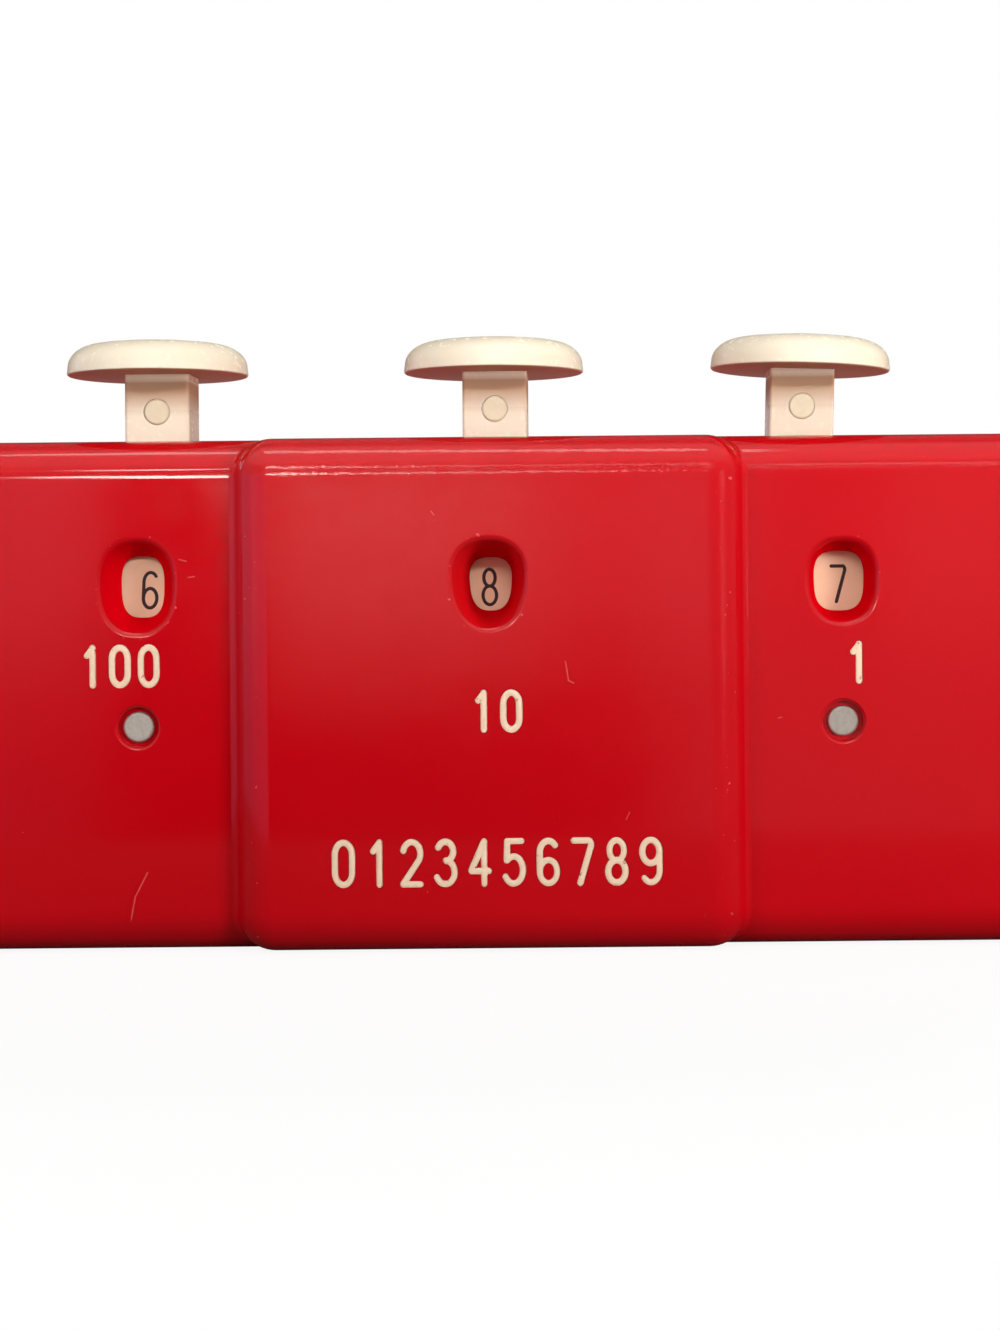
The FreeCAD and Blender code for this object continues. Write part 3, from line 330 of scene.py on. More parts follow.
def scratch(tree, place, start, end, width):
    """How pale a straight scratch makes a place: 0 beside it, and 0.5 along its middle."""
    along = (Vector(end) - Vector(start)) * MM
    out = add(tree, "VectorMath", {0: place, 1: [value * MM for value in start]},
              operation="SUBTRACT")
    share = add(tree, "VectorMath", {0: out, 1: along / along.length_squared},
                operation="DOT_PRODUCT")
    share = add(tree, "Clamp", {"Value": share.outputs["Value"]})
    near = add(tree, "VectorMath", {0: along, "Scale": share}, operation="SCALE")
    away = add(tree, "VectorMath", {0: out, 1: near}, operation="DISTANCE")
    return add(tree, "MapRange", {
        "Value": away.outputs["Value"], "From Min": width * MM * 0.75,
        "From Max": width * MM * 0.2, "To Max": 0.5})


def red_polystyrene(name, specular, dullness, dark="#BA010E", light="#C40412"):
    """Injection-moulded polystyrene, dyed through: a deep glossy red off a polished mould, with
    slow waves in its gloss, a haze of wear partly painted as sheen, pale flecks where its edges
    were knocked, and scratches that catch the light. The dullness adds to its roughness."""
    material, tree = new_material(name)
    place = add(tree, "TexCoord").outputs["Object"]
    parts = add(tree, "SeparateXYZ", {"Vector": place}).outputs
    cloud = add(tree, "TexNoise", {"Vector": place, "Scale": per(24), "Detail": 3.0})
    smear = add(tree, "TexNoise", {"Vector": place, "Scale": per(5), "Detail": 5.0,
                                   "Roughness": 0.65})
    # The haze lies round a spot high on the block: worn plastic, with its pale pink partly a
    # painted sheen.
    haze = add(tree, "VectorMath", {0: place, 1: (-0.012, -0.0145, 0.050)}, operation="DISTANCE")
    haze = add(tree, "MapRange", {
        "Value": haze.outputs["Value"], "From Min": 0.030, "From Max": 0.004, "To Max": 0.25,
    }, interpolation_type="SMOOTHSTEP")
    worn = add(tree, "Math", {0: haze, 1: smear}, operation="MULTIPLY")

    # Flecks: on the block's upright edges, round the windows, and thinly everywhere.
    fleck = add(tree, "TexNoise", {"Vector": place, "Scale": per(0.55), "Detail": 1.0})
    side = add(tree, "Math", {0: parts["X"]}, operation="ABSOLUTE")
    side = add(tree, "Math", {0: side, 1: 26.2 * MM}, operation="SUBTRACT")
    side = add(tree, "Math", {0: side}, operation="ABSOLUTE")
    edge = add(tree, "MapRange", {"Value": side, "From Min": 1.8 * MM,
                                  "From Max": 0.6 * MM, "To Max": 0.7})
    for column in COLUMNS:
        wide, tall = column["bowl"]
        centre = (column["x"] * MM, 0.0, WINDOW_RISE * MM)
        ring = add(tree, "VectorMath", {0: place, 1: centre}, operation="SUBTRACT")
        ring = add(tree, "VectorMath", {0: ring, 1: (2 / wide / MM, 0.0, 2 / tall / MM)},
                   operation="MULTIPLY")
        ring = add(tree, "VectorMath", {0: ring}, operation="LENGTH").outputs["Value"]
        ring = add(tree, "Math", {0: ring, 1: 1.02}, operation="SUBTRACT")
        ring = add(tree, "Math", {0: ring}, operation="ABSOLUTE")
        ring = add(tree, "MapRange", {"Value": ring, "From Min": 0.09, "From Max": 0.02})
        edge = add(tree, "Math", {0: edge, 1: ring}, operation="MAXIMUM")
    outer = add(tree, "MapRange", {"Value": parts["Y"], "From Min": -9.8 * MM,
                                   "From Max": -10.8 * MM})
    edge = add(tree, "Math", {0: edge, 1: outer}, operation="MULTIPLY")
    bar = add(tree, "MapRange", {"Value": edge, "To Min": 0.83, "To Max": 0.68})
    over = add(tree, "Math", {0: fleck, 1: bar}, operation="SUBTRACT")
    marks = add(tree, "MapRange", {"Value": over, "From Max": 0.05, "To Max": 0.6})
    for line in SCRATCHES:
        marks = add(tree, "Math", {0: marks, 1: scratch(tree, place, *line)}, operation="MAXIMUM")

    colour = add(tree, "Mix", {0: cloud, 6: linear(dark), 7: linear(light)}, data_type="RGBA")
    # The worn patch is wear, and its pale pink is partly a painted sheen.
    colour = add(tree, "Mix", {0: worn, 6: colour.outputs[2], 7: linear("#C8403C")},
                 data_type="RGBA")
    colour = add(tree, "Mix", {0: marks, 6: colour.outputs[2], 7: linear("#E26A68")},
                 data_type="RGBA")
    rough = add(tree, "MapRange", {
        "Value": smear, "From Min": 0.3, "From Max": 0.75,
        "To Min": 0.06 + dullness, "To Max": 0.11 + dullness})
    rough = add(tree, "Math", {0: worn, 1: 0.25, 2: rough}, operation="MULTIPLY_ADD")
    scraped = add(tree, "Math", {0: marks, 1: 0.4}, operation="MULTIPLY")
    rough = add(tree, "Math", {0: rough, 1: scraped}, operation="MAXIMUM")

    # Slow swells of the moulding, and a fine crinkle along the block's worn upper edge.
    swell = add(tree, "TexNoise", {"Vector": place, "Scale": per(7), "Detail": 2.0})
    wavy = add(tree, "Bump", {"Strength": 0.13, "Distance": 0.12 * MM, "Height": swell})
    crinkle = add(tree, "TexNoise", {"Vector": place, "Scale": per(0.9), "Detail": 3.0})
    high = add(tree, "MapRange", {"Value": parts["Z"], "From Min": 51.2 * MM,
                                  "From Max": 52.5 * MM})
    ahead = add(tree, "MapRange", {"Value": parts["Y"], "From Min": -11.8 * MM,
                                   "From Max": -12.5 * MM})
    upper = add(tree, "Math", {0: high, 1: ahead}, operation="MULTIPLY")
    crinkle = add(tree, "Math", {0: upper, 1: crinkle}, operation="MULTIPLY")
    wavy = add(tree, "Bump", {"Strength": 0.5, "Distance": 0.06 * MM, "Height": crinkle,
                              "Normal": wavy})
    shader = add(tree, "BsdfPrincipled", {
        "Base Color": colour.outputs[2], "Roughness": rough, "IOR": 1.49,
        "Specular IOR Level": specular, "Normal": wavy})
    add(tree, "OutputMaterial", {"Surface": shader})
    return material


def ivory_urea():
    """Compression-moulded urea plastic: warm ivory with a hard polish, yellowed unevenly, and
    browned under the caps and down the stems: painted shade for the caps' shadow and warm bounce."""
    material, tree = new_material("ivory_urea_moulded")
    place = add(tree, "TexCoord").outputs["Object"]

    # Painted shade: brown on what faces down, a little all down the stem and more as it nears the
    # cap, but not on the cap.
    facing = add(tree, "NewGeometry").outputs["Normal"]
    down = add(tree, "SeparateXYZ", {"Vector": facing}).outputs["Z"]
    down = add(tree, "MapRange", {"Value": down, "From Min": -0.15, "From Max": -0.9})
    rise = add(tree, "SeparateXYZ", {"Vector": place}).outputs["Z"]
    near = add(tree, "MapRange", {"Value": rise, "From Min": (CAP_FOOT - 4.8) * MM,
                                  "From Max": (CAP_FOOT - 2.0) * MM, "To Min": 0.18})
    under = add(tree, "MapRange", {"Value": rise, "From Min": (CAP_FOOT - 0.4) * MM,
                                   "From Max": (CAP_FOOT - 1.0) * MM})
    stem = add(tree, "Math", {0: near, 1: under}, operation="MULTIPLY")
    painted_shade = add(tree, "Math", {0: down, 1: stem}, operation="MAXIMUM")
    brown = add(tree, "Math", {0: painted_shade, 1: 0.72}, operation="MULTIPLY")
    dull = add(tree, "Math", {0: painted_shade, 1: 0.7}, operation="MULTIPLY")

    cloud = add(tree, "TexNoise", {"Vector": place, "Scale": per(9), "Detail": 4.0})
    fine = add(tree, "TexNoise", {"Vector": place, "Scale": per(0.8), "Detail": 3.0})
    colour = add(tree, "Mix", {0: cloud, 6: linear("#EBE2CE"), 7: linear("#E4D6BB")},
                 data_type="RGBA")
    # The brown mixed in here is painted shade for the caps' shadow, not dirt.
    colour = add(tree, "Mix", {0: brown, 6: colour.outputs[2], 7: linear("#96602C")},
                 data_type="RGBA")
    bump = add(tree, "Bump", {"Strength": 0.08, "Distance": 0.04 * MM, "Height": fine})
    rough = add(tree, "MapRange", {"Value": fine, "To Min": 0.16, "To Max": 0.34})
    rough = add(tree, "Math", {0: rough, 1: dull}, operation="MAXIMUM")
    shader = add(tree, "BsdfPrincipled", {
        "Base Color": colour.outputs[2], "Roughness": rough, "IOR": 1.5,
        "Subsurface Weight": 0.15, "Subsurface Radius": (0.002, 0.0012, 0.0006),
        "Subsurface Scale": 1.0, "Normal": bump})
    add(tree, "OutputMaterial", {"Surface": shader})
    return material


def mottled(name, dark, light, grain_mm, metallic=0.0, roughness=(0.3, 0.5), relief_mm=0.03,
            worn_to=None):
    """A surface that varies between two colours and two roughnesses over grains of one size, worn
    through in small spots where a third colour is given."""
    material, tree = new_material(name)
    place = add(tree, "TexCoord").outputs["Object"]
    grain = add(tree, "TexNoise", {"Vector": place, "Scale": per(grain_mm),
                                   "Detail": 4.0, "Roughness": 0.6})
    colour = add(tree, "Mix", {0: grain, 6: linear(dark), 7: linear(light)}, data_type="RGBA")
    if worn_to:
        patch = add(tree, "TexNoise", {"Vector": place, "Scale": per(1.3),
                                       "Detail": 4.0, "Roughness": 0.7})
        gone = add(tree, "MapRange", {"Value": patch, "From Min": 0.63,
                                      "From Max": 0.7, "To Max": 0.85})
        colour = add(tree, "Mix", {0: gone, 6: colour.outputs[2], 7: linear(worn_to)},
                     data_type="RGBA")
    rough = add(tree, "MapRange", {"Value": grain, "To Min": roughness[0], "To Max": roughness[1]})
    bump = add(tree, "Bump", {"Strength": 0.4, "Distance": relief_mm * MM, "Height": grain})
    settings = {"Base Color": colour.outputs[2], "Roughness": rough, "Metallic": metallic,
                "Normal": bump}
    if not metallic:
        settings["IOR"] = 1.5
    shader = add(tree, "BsdfPrincipled", settings)
    add(tree, "OutputMaterial", {"Surface": shader})
    return material


RED = red_polystyrene("red_polystyrene_moulded", 0.5, 0.0)
# The same plastic in the window bowls, without gloss and rougher, in a brighter red that is
# painted light for the light bounced round the bowls.
RED_RECESS = red_polystyrene("red_polystyrene_bowl_painted_bounce", 0.0, 0.25, "#C8000E", "#D20212")
IVORY = ivory_urea()
# Filler paint: a chalky cream wiped into the grooves, gone in spots down to the red.
FILLER = mottled("cream_enamel_filler", "#E9C6A2", "#F9E2C8", 0.5, roughness=(0.45, 0.7),
                 relief_mm=0.08, worn_to="#B4202A")
# Turned pins of soft plastic, tan beside the ivory.
PIN = mottled("tan_celluloid_turned", "#CDBF9F", "#DED2B6", 0.6, roughness=(0.25, 0.5))
# Printed dials: an ivory sheet with a satin face.
DIAL = mottled("ivory_vinyl_sheet", "#EEC7A0", "#F5DAB6", 3.0, roughness=(0.45, 0.6))
# Dial ink: dark brown, almost black.
INK = mottled("brown_ink_printed", "#1C0505", "#30100C", 0.3, roughness=(0.4, 0.6))
# Inner parts: natural nylon, milky off-white.
NYLON = mottled("natural_nylon_moulded", "#D9D2BF", "#E6E0D0", 2.0, roughness=(0.4, 0.6))
# Aluminium rod, sawn and dulled at its ends.
ALUMINIUM = mottled("aluminium_rod_turned", "#B4ACA4", "#EEE7DA", 0.35, metallic=0.8,
                    roughness=(0.45, 0.75))
# Zinc-plated steel: a pale grey with a faint bloom.
ZINC = mottled("zinc_plated_steel", "#A4A7A8", "#C8CBCC", 1.2, metallic=1.0,
               roughness=(0.25, 0.4))
# Spring steel: rolled hard and bright, slightly blue.
SPRING = mottled("spring_steel_rolled", "#8C9096", "#B7BBC0", 0.8, metallic=1.0,
                 roughness=(0.2, 0.35))


# --- Front shell -----------------------------------------------------------------------

def rounded_form(low, high, radius):
    """A block with its front edge and its four edges along the depth rounded."""
    bm = bmesh.new()
    slab(bm, low, high)
    front = low[1] + TINY
    round_edges(bm, lambda edge: min(v.co.y for v in edge.verts) < front, radius, 14)
    return bm


def valley_ring(hand, rise):
    """One ring of the fillet in the valley beside the block: an arc that touches the side form and
    the block, closed inside the wall. The rise is its ball's height."""
    ball = EDGE_ROUND + VALLEY_ROUND
    level = min(max(rise, EDGE_ROUND), TALL - EDGE_ROUND)
    reach = math.sqrt(ball ** 2 - (rise - level) ** 2)
    corner = HALF_BLOCK - EDGE_ROUND
    side_axis, block_axis = SIDE_FACE + EDGE_ROUND, BLOCK_FACE + EDGE_ROUND
    depth = side_axis - reach
    out = math.sqrt(reach ** 2 - min(depth - block_axis, 0.0) ** 2)
    centre = Vector((corner + out, depth, rise))
    to_side = (Vector((corner + out, side_axis, level)) - centre).normalized()
    to_block = (Vector((corner, max(depth, block_axis), level)) - centre).normalized()
    ways = [to_side.lerp(to_block, number / 7).normalized() for number in range(8)]
    # The arc's ends go just into the two forms, so that no sliver is left between.
    far = [VALLEY_ROUND + 0.015] + [VALLEY_ROUND] * 6 + [VALLEY_ROUND + 0.015]
    places = [centre + way * reach for way, reach in zip(ways, far)]
    places += [centre + to_block * (VALLEY_ROUND + 0.8), centre + to_side * (VALLEY_ROUND + 0.8)]
    places = [Vector((place.x * hand, place.y, place.z)) for place in places]

    def ring(c, s):
        return places[round(math.atan2(s, c) / math.tau * len(places)) % len(places)]
    return ring


# The valley's fillet follows the case's lower and upper edges round in rings at these turns, in
# degrees, and has a ring this far from each end of its straight part.
VALLEY_TURNS, VALLEY_STRAIGHT = (84, 77, 68, 58, 47, 36, 25, 13), 16.0


def case_form(inset, back):
    """The side form and the raised block, shrunk inwards by the inset. The outer form, which has
    none, also gets its valleys."""
    radius = INNER_ROUND if inset else EDGE_ROUND
    form = as_object(rounded_form((-HALF_WIDE + inset, SIDE_FACE + inset, inset),
                                  (HALF_WIDE - inset, back, TALL - inset), radius), "form")
    block = rounded_form((-HALF_BLOCK + inset, BLOCK_FACE + inset, inset),
                         (HALF_BLOCK - inset, 0.0, TALL - inset), radius)
    reshape(form, block, "UNION")
    if not inset:
        ball = EDGE_ROUND + VALLEY_ROUND
        turns = [math.radians(turn) for turn in VALLEY_TURNS]
        rises = [EDGE_ROUND - ball * math.sin(turn) for turn in turns]
        rises += [EDGE_ROUND, VALLEY_STRAIGHT, TALL - VALLEY_STRAIGHT, TALL - EDGE_ROUND]
        rises += [TALL - EDGE_ROUND + ball * math.sin(turn) for turn in reversed(turns)]
        valleys = bmesh.new()
        for hand in (-1, 1):
            loft(valleys, [valley_ring(hand, rise) for rise in rises], segments=10)
        reshape(form, valleys, "UNION")
    return form


def signed_power(value, power):
    """A value to a power, with its own sign."""
    return math.copysign(abs(value) ** power, value)


# A window: the rounding of its lip, with the turns in degrees at which it has a ring, how full
# its bowl is, the straight land before its eye, and the wall of its neck.
LIP_ROUND, LIP_TURNS = 0.95, (12, 26, 42, 60)
BOWL_FULLNESS, EYE_LAND, NECK_WALL = 1.12, 0.35, 1.1


def window_rings(column, face, margin, outside):
    """The rings of a window from its lip down to its eye, a margin wider all round. One that cuts
    it out starts outside the face and ends past the eye."""
    half_bowl = [side / 2 for side in column["bowl"]]
    half_eye = [side / 2 for side in column["eye"]]
    deep = EYE_PLANE - face - EYE_LAND

    stations = []
    if outside:
        stations.append((-1.0, [side + 1.2 for side in half_bowl], 0.0))
    turns = [math.radians(turn) for turn in LIP_TURNS]
    for turn in turns:
        inset = LIP_ROUND * (math.sin(turn) - math.sin(turns[0]))
        drop = LIP_ROUND * (math.cos(turns[0]) - math.cos(turn))
        stations.append((drop, [side - inset for side in half_bowl], 0.0))
    start, from_half, _ = stations[-1]
    for number in range(1, 9):
        share = math.sin(math.radians(90) * number / 8)
        fullness = (1 - share ** BOWL_FULLNESS) ** (1 / BOWL_FULLNESS)
        halves = [e + (b - e) * fullness for b, e in zip(from_half, half_eye)]
        stations.append((start + (deep - start) * share, halves, 1 - fullness))
    stations.append((deep + EYE_LAND + (1.0 if outside else 0.0), half_eye, 1.0))

    def ring(drop, halves, eye_share):
        power = column["recess_power"] + (column["eye_power"] - column["recess_power"]) * eye_share

        def place(c, s):
            across = signed_power(c, 2 / power)
            up = signed_power(s, 2 / power)
            across *= 1 + column["narrowing"] * up
            return Vector((column["x"] + across * (halves[0] + margin), face + drop,
                           WINDOW_RISE + up * (halves[1] + margin)))
        return place

    return [ring(*station) for station in stations]


# The shell's fittings: the axles' bosses and holes, the posts that seat the return springs and
# the pegs that centre them (each a diameter and a height), half the width of a stem's opening,
# and the screws' bosses and pilot holes, which start behind the face.
AXLE_BOSS, AXLE_HOLE = 8.0, 3.5
SPRING_POST, SPRING_PEG = (6.4, 3.0), (3.0, 5.0)
HALF_OPENING = 3.95
SCREW_BOSS, SCREW_PILOT, PILOT_START = 6.0, 2.24, 0.5
# A side axle shows in a hole with a rounded lip: stations of depth behind the face and diameter.
AXLE_LIP = [(-1.0, 6.6), (0.0, 5.1), (0.14, 4.72), (0.4, 4.42), (1.0, 4.4), (1.0, AXLE_HOLE)]


def make_front_shell():
    """The red case: two rounded forms in one, hollow, with necks, bosses and windows."""
    shell = case_form(0.0, COVER_FACE)
    hollow = case_form(WALL, COVER_FACE + 2.0)
    inner = bmesh.new()
    inner.from_mesh(hollow.data)
    bpy.data.objects.remove(hollow)
    reshape(shell, inner, "DIFFERENCE")

    added = bmesh.new()
    for column in COLUMNS:
        x, face = column["x"], column["face"]
        loft(added, window_rings(column, face, NECK_WALL, outside=False)[len(LIP_TURNS):])
        rod(added, (x, face + WALL / 2, AXLE_RISE), (x, BOSS_TIP, AXLE_RISE), AXLE_BOSS)
        for foot, (dia, top) in ((WALL / 2, SPRING_POST), (WALL, SPRING_PEG)):
            rod(added, (x, STEM_DEPTH, foot), (x, STEM_DEPTH, top), dia)
    for x, z in SCREW_SPOTS:
        face = SIDE_FACE if abs(x) > HALF_BLOCK else BLOCK_FACE
        rod(added, (x, face + WALL / 2, z), (x, COVER_FACE, z), SCREW_BOSS)
    reshape(shell, added, "UNION")

    cuts = bmesh.new()
    for column in COLUMNS:
        x, face = column["x"], column["face"]
        loft(cuts, window_rings(column, face, 0.0, outside=True))
        button_x = x + column["shift"]
        slab(cuts, (button_x - HALF_OPENING, STEM_DEPTH - HALF_OPENING, TALL - WALL - 2),
             (button_x + HALF_OPENING, STEM_DEPTH + HALF_OPENING, TALL + 2))
        if face == SIDE_FACE:
            lip = [(face + drop, dia) for drop, dia in AXLE_LIP]
            stepped_rod(cuts, x, AXLE_RISE, lip + [(BOSS_TIP + 1, AXLE_HOLE)])
        else:
            rod(cuts, (x, BOSS_TIP - 3.0, AXLE_RISE), (x, BOSS_TIP + 1, AXLE_RISE), AXLE_HOLE)
    for x, z in SCREW_SPOTS:
        rod(cuts, (x, PILOT_START, z), (x, COVER_FACE + 1, z), SCREW_PILOT, segments=24)
    reshape(shell, cuts, "DIFFERENCE")
    return shell


# The numerals: the width of a painted stroke, how much wider its groove is and how far behind the
# face the groove's middle lies, and the paint's flattening in depth and its middle's depth.
LABEL_STROKE, GROOVE_PLAY, GROOVE_DEPTH = 0.75, 0.12, 0.04
PAINT_FLATTENING, PAINT_DEPTH = 0.3, 0.17


def label_rows():
    """Each row of numerals on the case: its name, text, height, width, pitch and place."""
    rows = []
    for column in COLUMNS:
        x, z = column["number_place"]
        rows.append((f"{column['name']}_numerals", column["number"],
                     column["number_tall"] - LABEL_STROKE, 1.75, 3.2,
                     Vector((x, column["face"], z))))
    rows.append(("count_row_numerals", "0123456789", 5.4 - LABEL_STROKE, 1.9, 3.75,
                 Vector((0.7, BLOCK_FACE, 10.0))))
    return rows


def make_labels(shell):
    """Cuts the rows of numerals in the shell and fills them with paint."""
    grooves = bmesh.new()
    sink = Vector((0.0, GROOVE_DEPTH, 0.0))
    for name, text, tall, wide, pitch, place in label_rows():
        strokes = strokes_of(text, tall, wide, pitch, Matrix.Translation(place))
        add_strokes(grooves, [[spot + sink for spot in stroke] for stroke in strokes],
                    LABEL_STROKE + GROOVE_PLAY)
        fill = bmesh.new()
        add_strokes(fill, strokes, LABEL_STROKE)
        bmesh.ops.scale(fill, vec=(1.0, PAINT_FLATTENING, 1.0), verts=fill.verts,
                        space=Matrix.Translation((0.0, -place.y, 0.0)))
        bmesh.ops.translate(fill, vec=(0.0, PAINT_DEPTH, 0.0), verts=fill.verts)
        finish_piece(as_object(fill, name), "case", FILLER, sharp=60)
    reshape(shell, grooves, "DIFFERENCE")


shell = make_front_shell()
shell.name = "front_shell_moulding"
make_labels(shell)
finish_piece(shell, "case", RED, ["front_shell"], sharp=32)
# The bowls' faces, from inside the lip to the eye, take the brighter red of painted bounce light.
shell.data.materials.append(RED_RECESS)
for face in shell.data.polygons:
    for column in COLUMNS:
        across = (face.center.x / MM - column["x"]) / (column["bowl"][0] / 2)
        up = (face.center.z / MM - WINDOW_RISE) / (column["bowl"][1] / 2)
        depth = face.center.y / MM
        if math.hypot(across, up) < 1.1 and column["face"] + 0.45 < depth < EYE_PLANE + 0.1:
            face.material_index = 1


# --- Buttons, springs and dials --------------------------------------------------------

# A button's stem: half its width, its foot, the pocket for the carriage's tongue (half its width
# and depth, and the ends of its cut), the cross pin's height and hole, and the height that it
# leans about.
HALF_STEM, STEM_FOOT = 3.7, 49.15
HALF_POCKET, POCKET_ENDS = (2.35, 1.65), (47.0, 64.35)
PIN_RISE, PIN_HOLE = 60.7, 3.04
LEAN_RISE = 59.1


def make_button(column):
    """The round cap on its square stem, with the cross pin's hole and the tongue's pocket."""
    x, y = column["x"] + column["shift"], STEM_DEPTH
    # The cap from its flat foot, round a small lower edge and a full upper one, to a low crown.
    lower_out, lower_up, rim_lean = 0.35, 0.3, 0.08
    upper_out, upper_foot, crown = 3.5, CAP_FOOT + 1.0, 0.45
    upper_up = CAP_TOP - crown - upper_foot
    profile = [(0.0, CAP_FOOT), (CAP_RADIUS - lower_out, CAP_FOOT)]
    profile += arc(CAP_RADIUS - lower_out, CAP_FOOT + lower_up, lower_out, lower_up, -60, 0, 30)
    profile += arc(CAP_RADIUS - rim_lean - upper_out, upper_foot, upper_out, upper_up, 0, 84, 7)
    flat = profile[-1]
    profile += [(flat[0] * share, CAP_TOP - (CAP_TOP - flat[1]) * share ** 2)
                for share in (0.85, 0.68, 0.5, 0.3, 0.12)]
    profile.append((0.0, CAP_TOP))
    button = as_object(spun(profile, (x + column["aside"], y)),
                       f"{column['name']}_button_moulding")

    stem = bmesh.new()
    slab(stem, (x - HALF_STEM, y - HALF_STEM, STEM_FOOT),
         (x + HALF_STEM, y + HALF_STEM, CAP_FOOT + 1.0))
    round_edges(stem, lambda edge: abs(edge.verts[0].co.z - edge.verts[1].co.z) > 1, 0.35, 4)
    reshape(button, stem, "UNION")
    openings = bmesh.new()
    slab(openings, (x - HALF_POCKET[0], y - HALF_POCKET[1], POCKET_ENDS[0]),
         (x + HALF_POCKET[0], y + HALF_POCKET[1], POCKET_ENDS[1]))
    rod(openings, (x, y - 5.0, PIN_RISE), (x, y + 5.0, PIN_RISE), PIN_HOLE)
    reshape(button, openings, "DIFFERENCE")
    if column["lean"]:
        about = Matrix.Translation((x, y, LEAN_RISE))
        lean = Matrix.Rotation(math.radians(column["lean"]), 4, "Y")
        button.data.transform(about @ lean @ about.inverted())
    finish_piece(button, f"{column['name']}_push", IVORY,
                 [f"{column['name']}_button"])


def make_return_spring(column):
    """The coil under the carriage, its end turns closed. It keeps its shape here; the real one
    flattens as the button goes in.
    """
    foot, head, turns, steps = 3.27, 13.53, 6, 28
    radius, wire, closed_turns, closed_rise = 2.0, 0.5, 0.75, 0.55
    places = []
    for number in range(turns * steps + 1):
        share = number / (turns * steps)
        turned = share * turns
        open_share = min(max((turned - closed_turns) / (turns - 2 * closed_turns), 0.0), 1.0)
        up = foot + closed_rise * min(turned / closed_turns, 1.0) * 0.5
        up += (head - foot - closed_rise) * open_share
        up += closed_rise * 0.5 * max((turned - turns + closed_turns) / closed_turns, 0.0)
        places.append(Vector((column["x"] + radius * math.cos(turned * math.tau),
                              STEM_DEPTH + radius * math.sin(turned * math.tau), up)))
    bm = bmesh.new()
    add_strokes(bm, [places], wire)
    spring = as_object(bm, f"{column['name']}_return_coil")
    finish_piece(spring, "case", SPRING, [f"{column['name']}_return_spring"],
                 sharp=60)
    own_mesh(spring)


# The dials' digits: the turn from one to the next in degrees, how far out their middles lie, their
# height, width and stroke, and how flat their ink lies.
DIGIT_TURN, DIGIT_REACH = 36.0, 15.25
DIGIT_TALL, DIGIT_WIDE, DIGIT_STROKE, INK_FLATTENING = 4.0, 1.52, 0.41, 0.12


def make_dial_digits(column):
    """Ten numerals printed round the dial, with the column's resting one at the top."""
    bm = bmesh.new()
    axle = Matrix.Translation((column["x"], DIAL_FACE - 0.01, AXLE_RISE))
    for digit in range(10):
        angle = DIGIT_TURN * (digit - column["digit"]) * column["hand"] + column["slack"]
        place = (axle @ Matrix.Rotation(math.radians(-angle), 4, "Y")
                 @ Matrix.Translation((0.0, 0.0, DIGIT_REACH)))
        add_strokes(bm, strokes_of(str(digit), DIGIT_TALL, DIGIT_WIDE, 0.0, place), DIGIT_STROKE)
    bmesh.ops.scale(bm, vec=(1.0, INK_FLATTENING, 1.0), verts=bm.verts,
                    space=Matrix.Translation((0.0, -DIAL_FACE, 0.0)))
    finish_piece(as_object(bm, f"{column['name']}_dial_digits"), f"{column['name']}_wheel",
                 INK, sharp=60)


for column in COLUMNS:
    make_button(column)
    make_return_spring(column)
    make_dial_digits(column)


# --- Solids that keep their shape ------------------------------------------------------

# A cover screw: its shank and its flush head as stations of depth and diameter, and its slot's
# half length, half width and floor.
SCREW_FORM = ((2.5, 2.2), (13.3, 2.2), (COVER_BACK, 4.6))
SLOT_HALF_LONG, SLOT_HALF_WIDE, SLOT_FLOOR = 3.0, 0.35, 13.85


def make_cover_screws():
    """Countersunk screws into the shell's bosses, each head with a slot at its own angle."""
    bm, slots = bmesh.new(), bmesh.new()
    chance = random.Random(5)
    for x, z in sorted(SCREW_SPOTS):
        stepped_rod(bm, x, z, SCREW_FORM)
        slot = slab(slots, (-SLOT_HALF_LONG, SLOT_FLOOR, -SLOT_HALF_WIDE),
                    (SLOT_HALF_LONG, COVER_BACK + 0.5, SLOT_HALF_WIDE))
        turn = Matrix.Rotation(chance.uniform(0, math.pi), 4, "Y")
        bmesh.ops.transform(slots, matrix=Matrix.Translation((x, 0.0, z)) @ turn, verts=slot)
    screws = as_object(bm, "cover_screws_slotted")
    reshape(screws, slots, "DIFFERENCE")
    finish_piece(screws, "case", ZINC, ["cover_screws"])


make_cover_screws()


def dress(node, material):
    """Gives a solid of the frame its material."""
    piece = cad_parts[node]
    piece.data.materials.clear()
    piece.data.materials.append(material)


dress("back_cover", RED)
dress("click_spring_screws", ZINC)
for column in COLUMNS:
    for part, material in (
        ("axle", ALUMINIUM), ("axle_washer", ZINC), ("click_spring", SPRING), ("button_pin", PIN),
        ("carriage", NYLON), ("pawl", ZINC), ("pawl_pin", ZINC), ("pawl_spring", SPRING),
        ("dial", DIAL), ("carry_wheel", NYLON), ("ratchet", NYLON),
    ):
        dress(f"{column['name']}_{part}", material)


# --- Studio, in metres -----------------------------------------------------------------

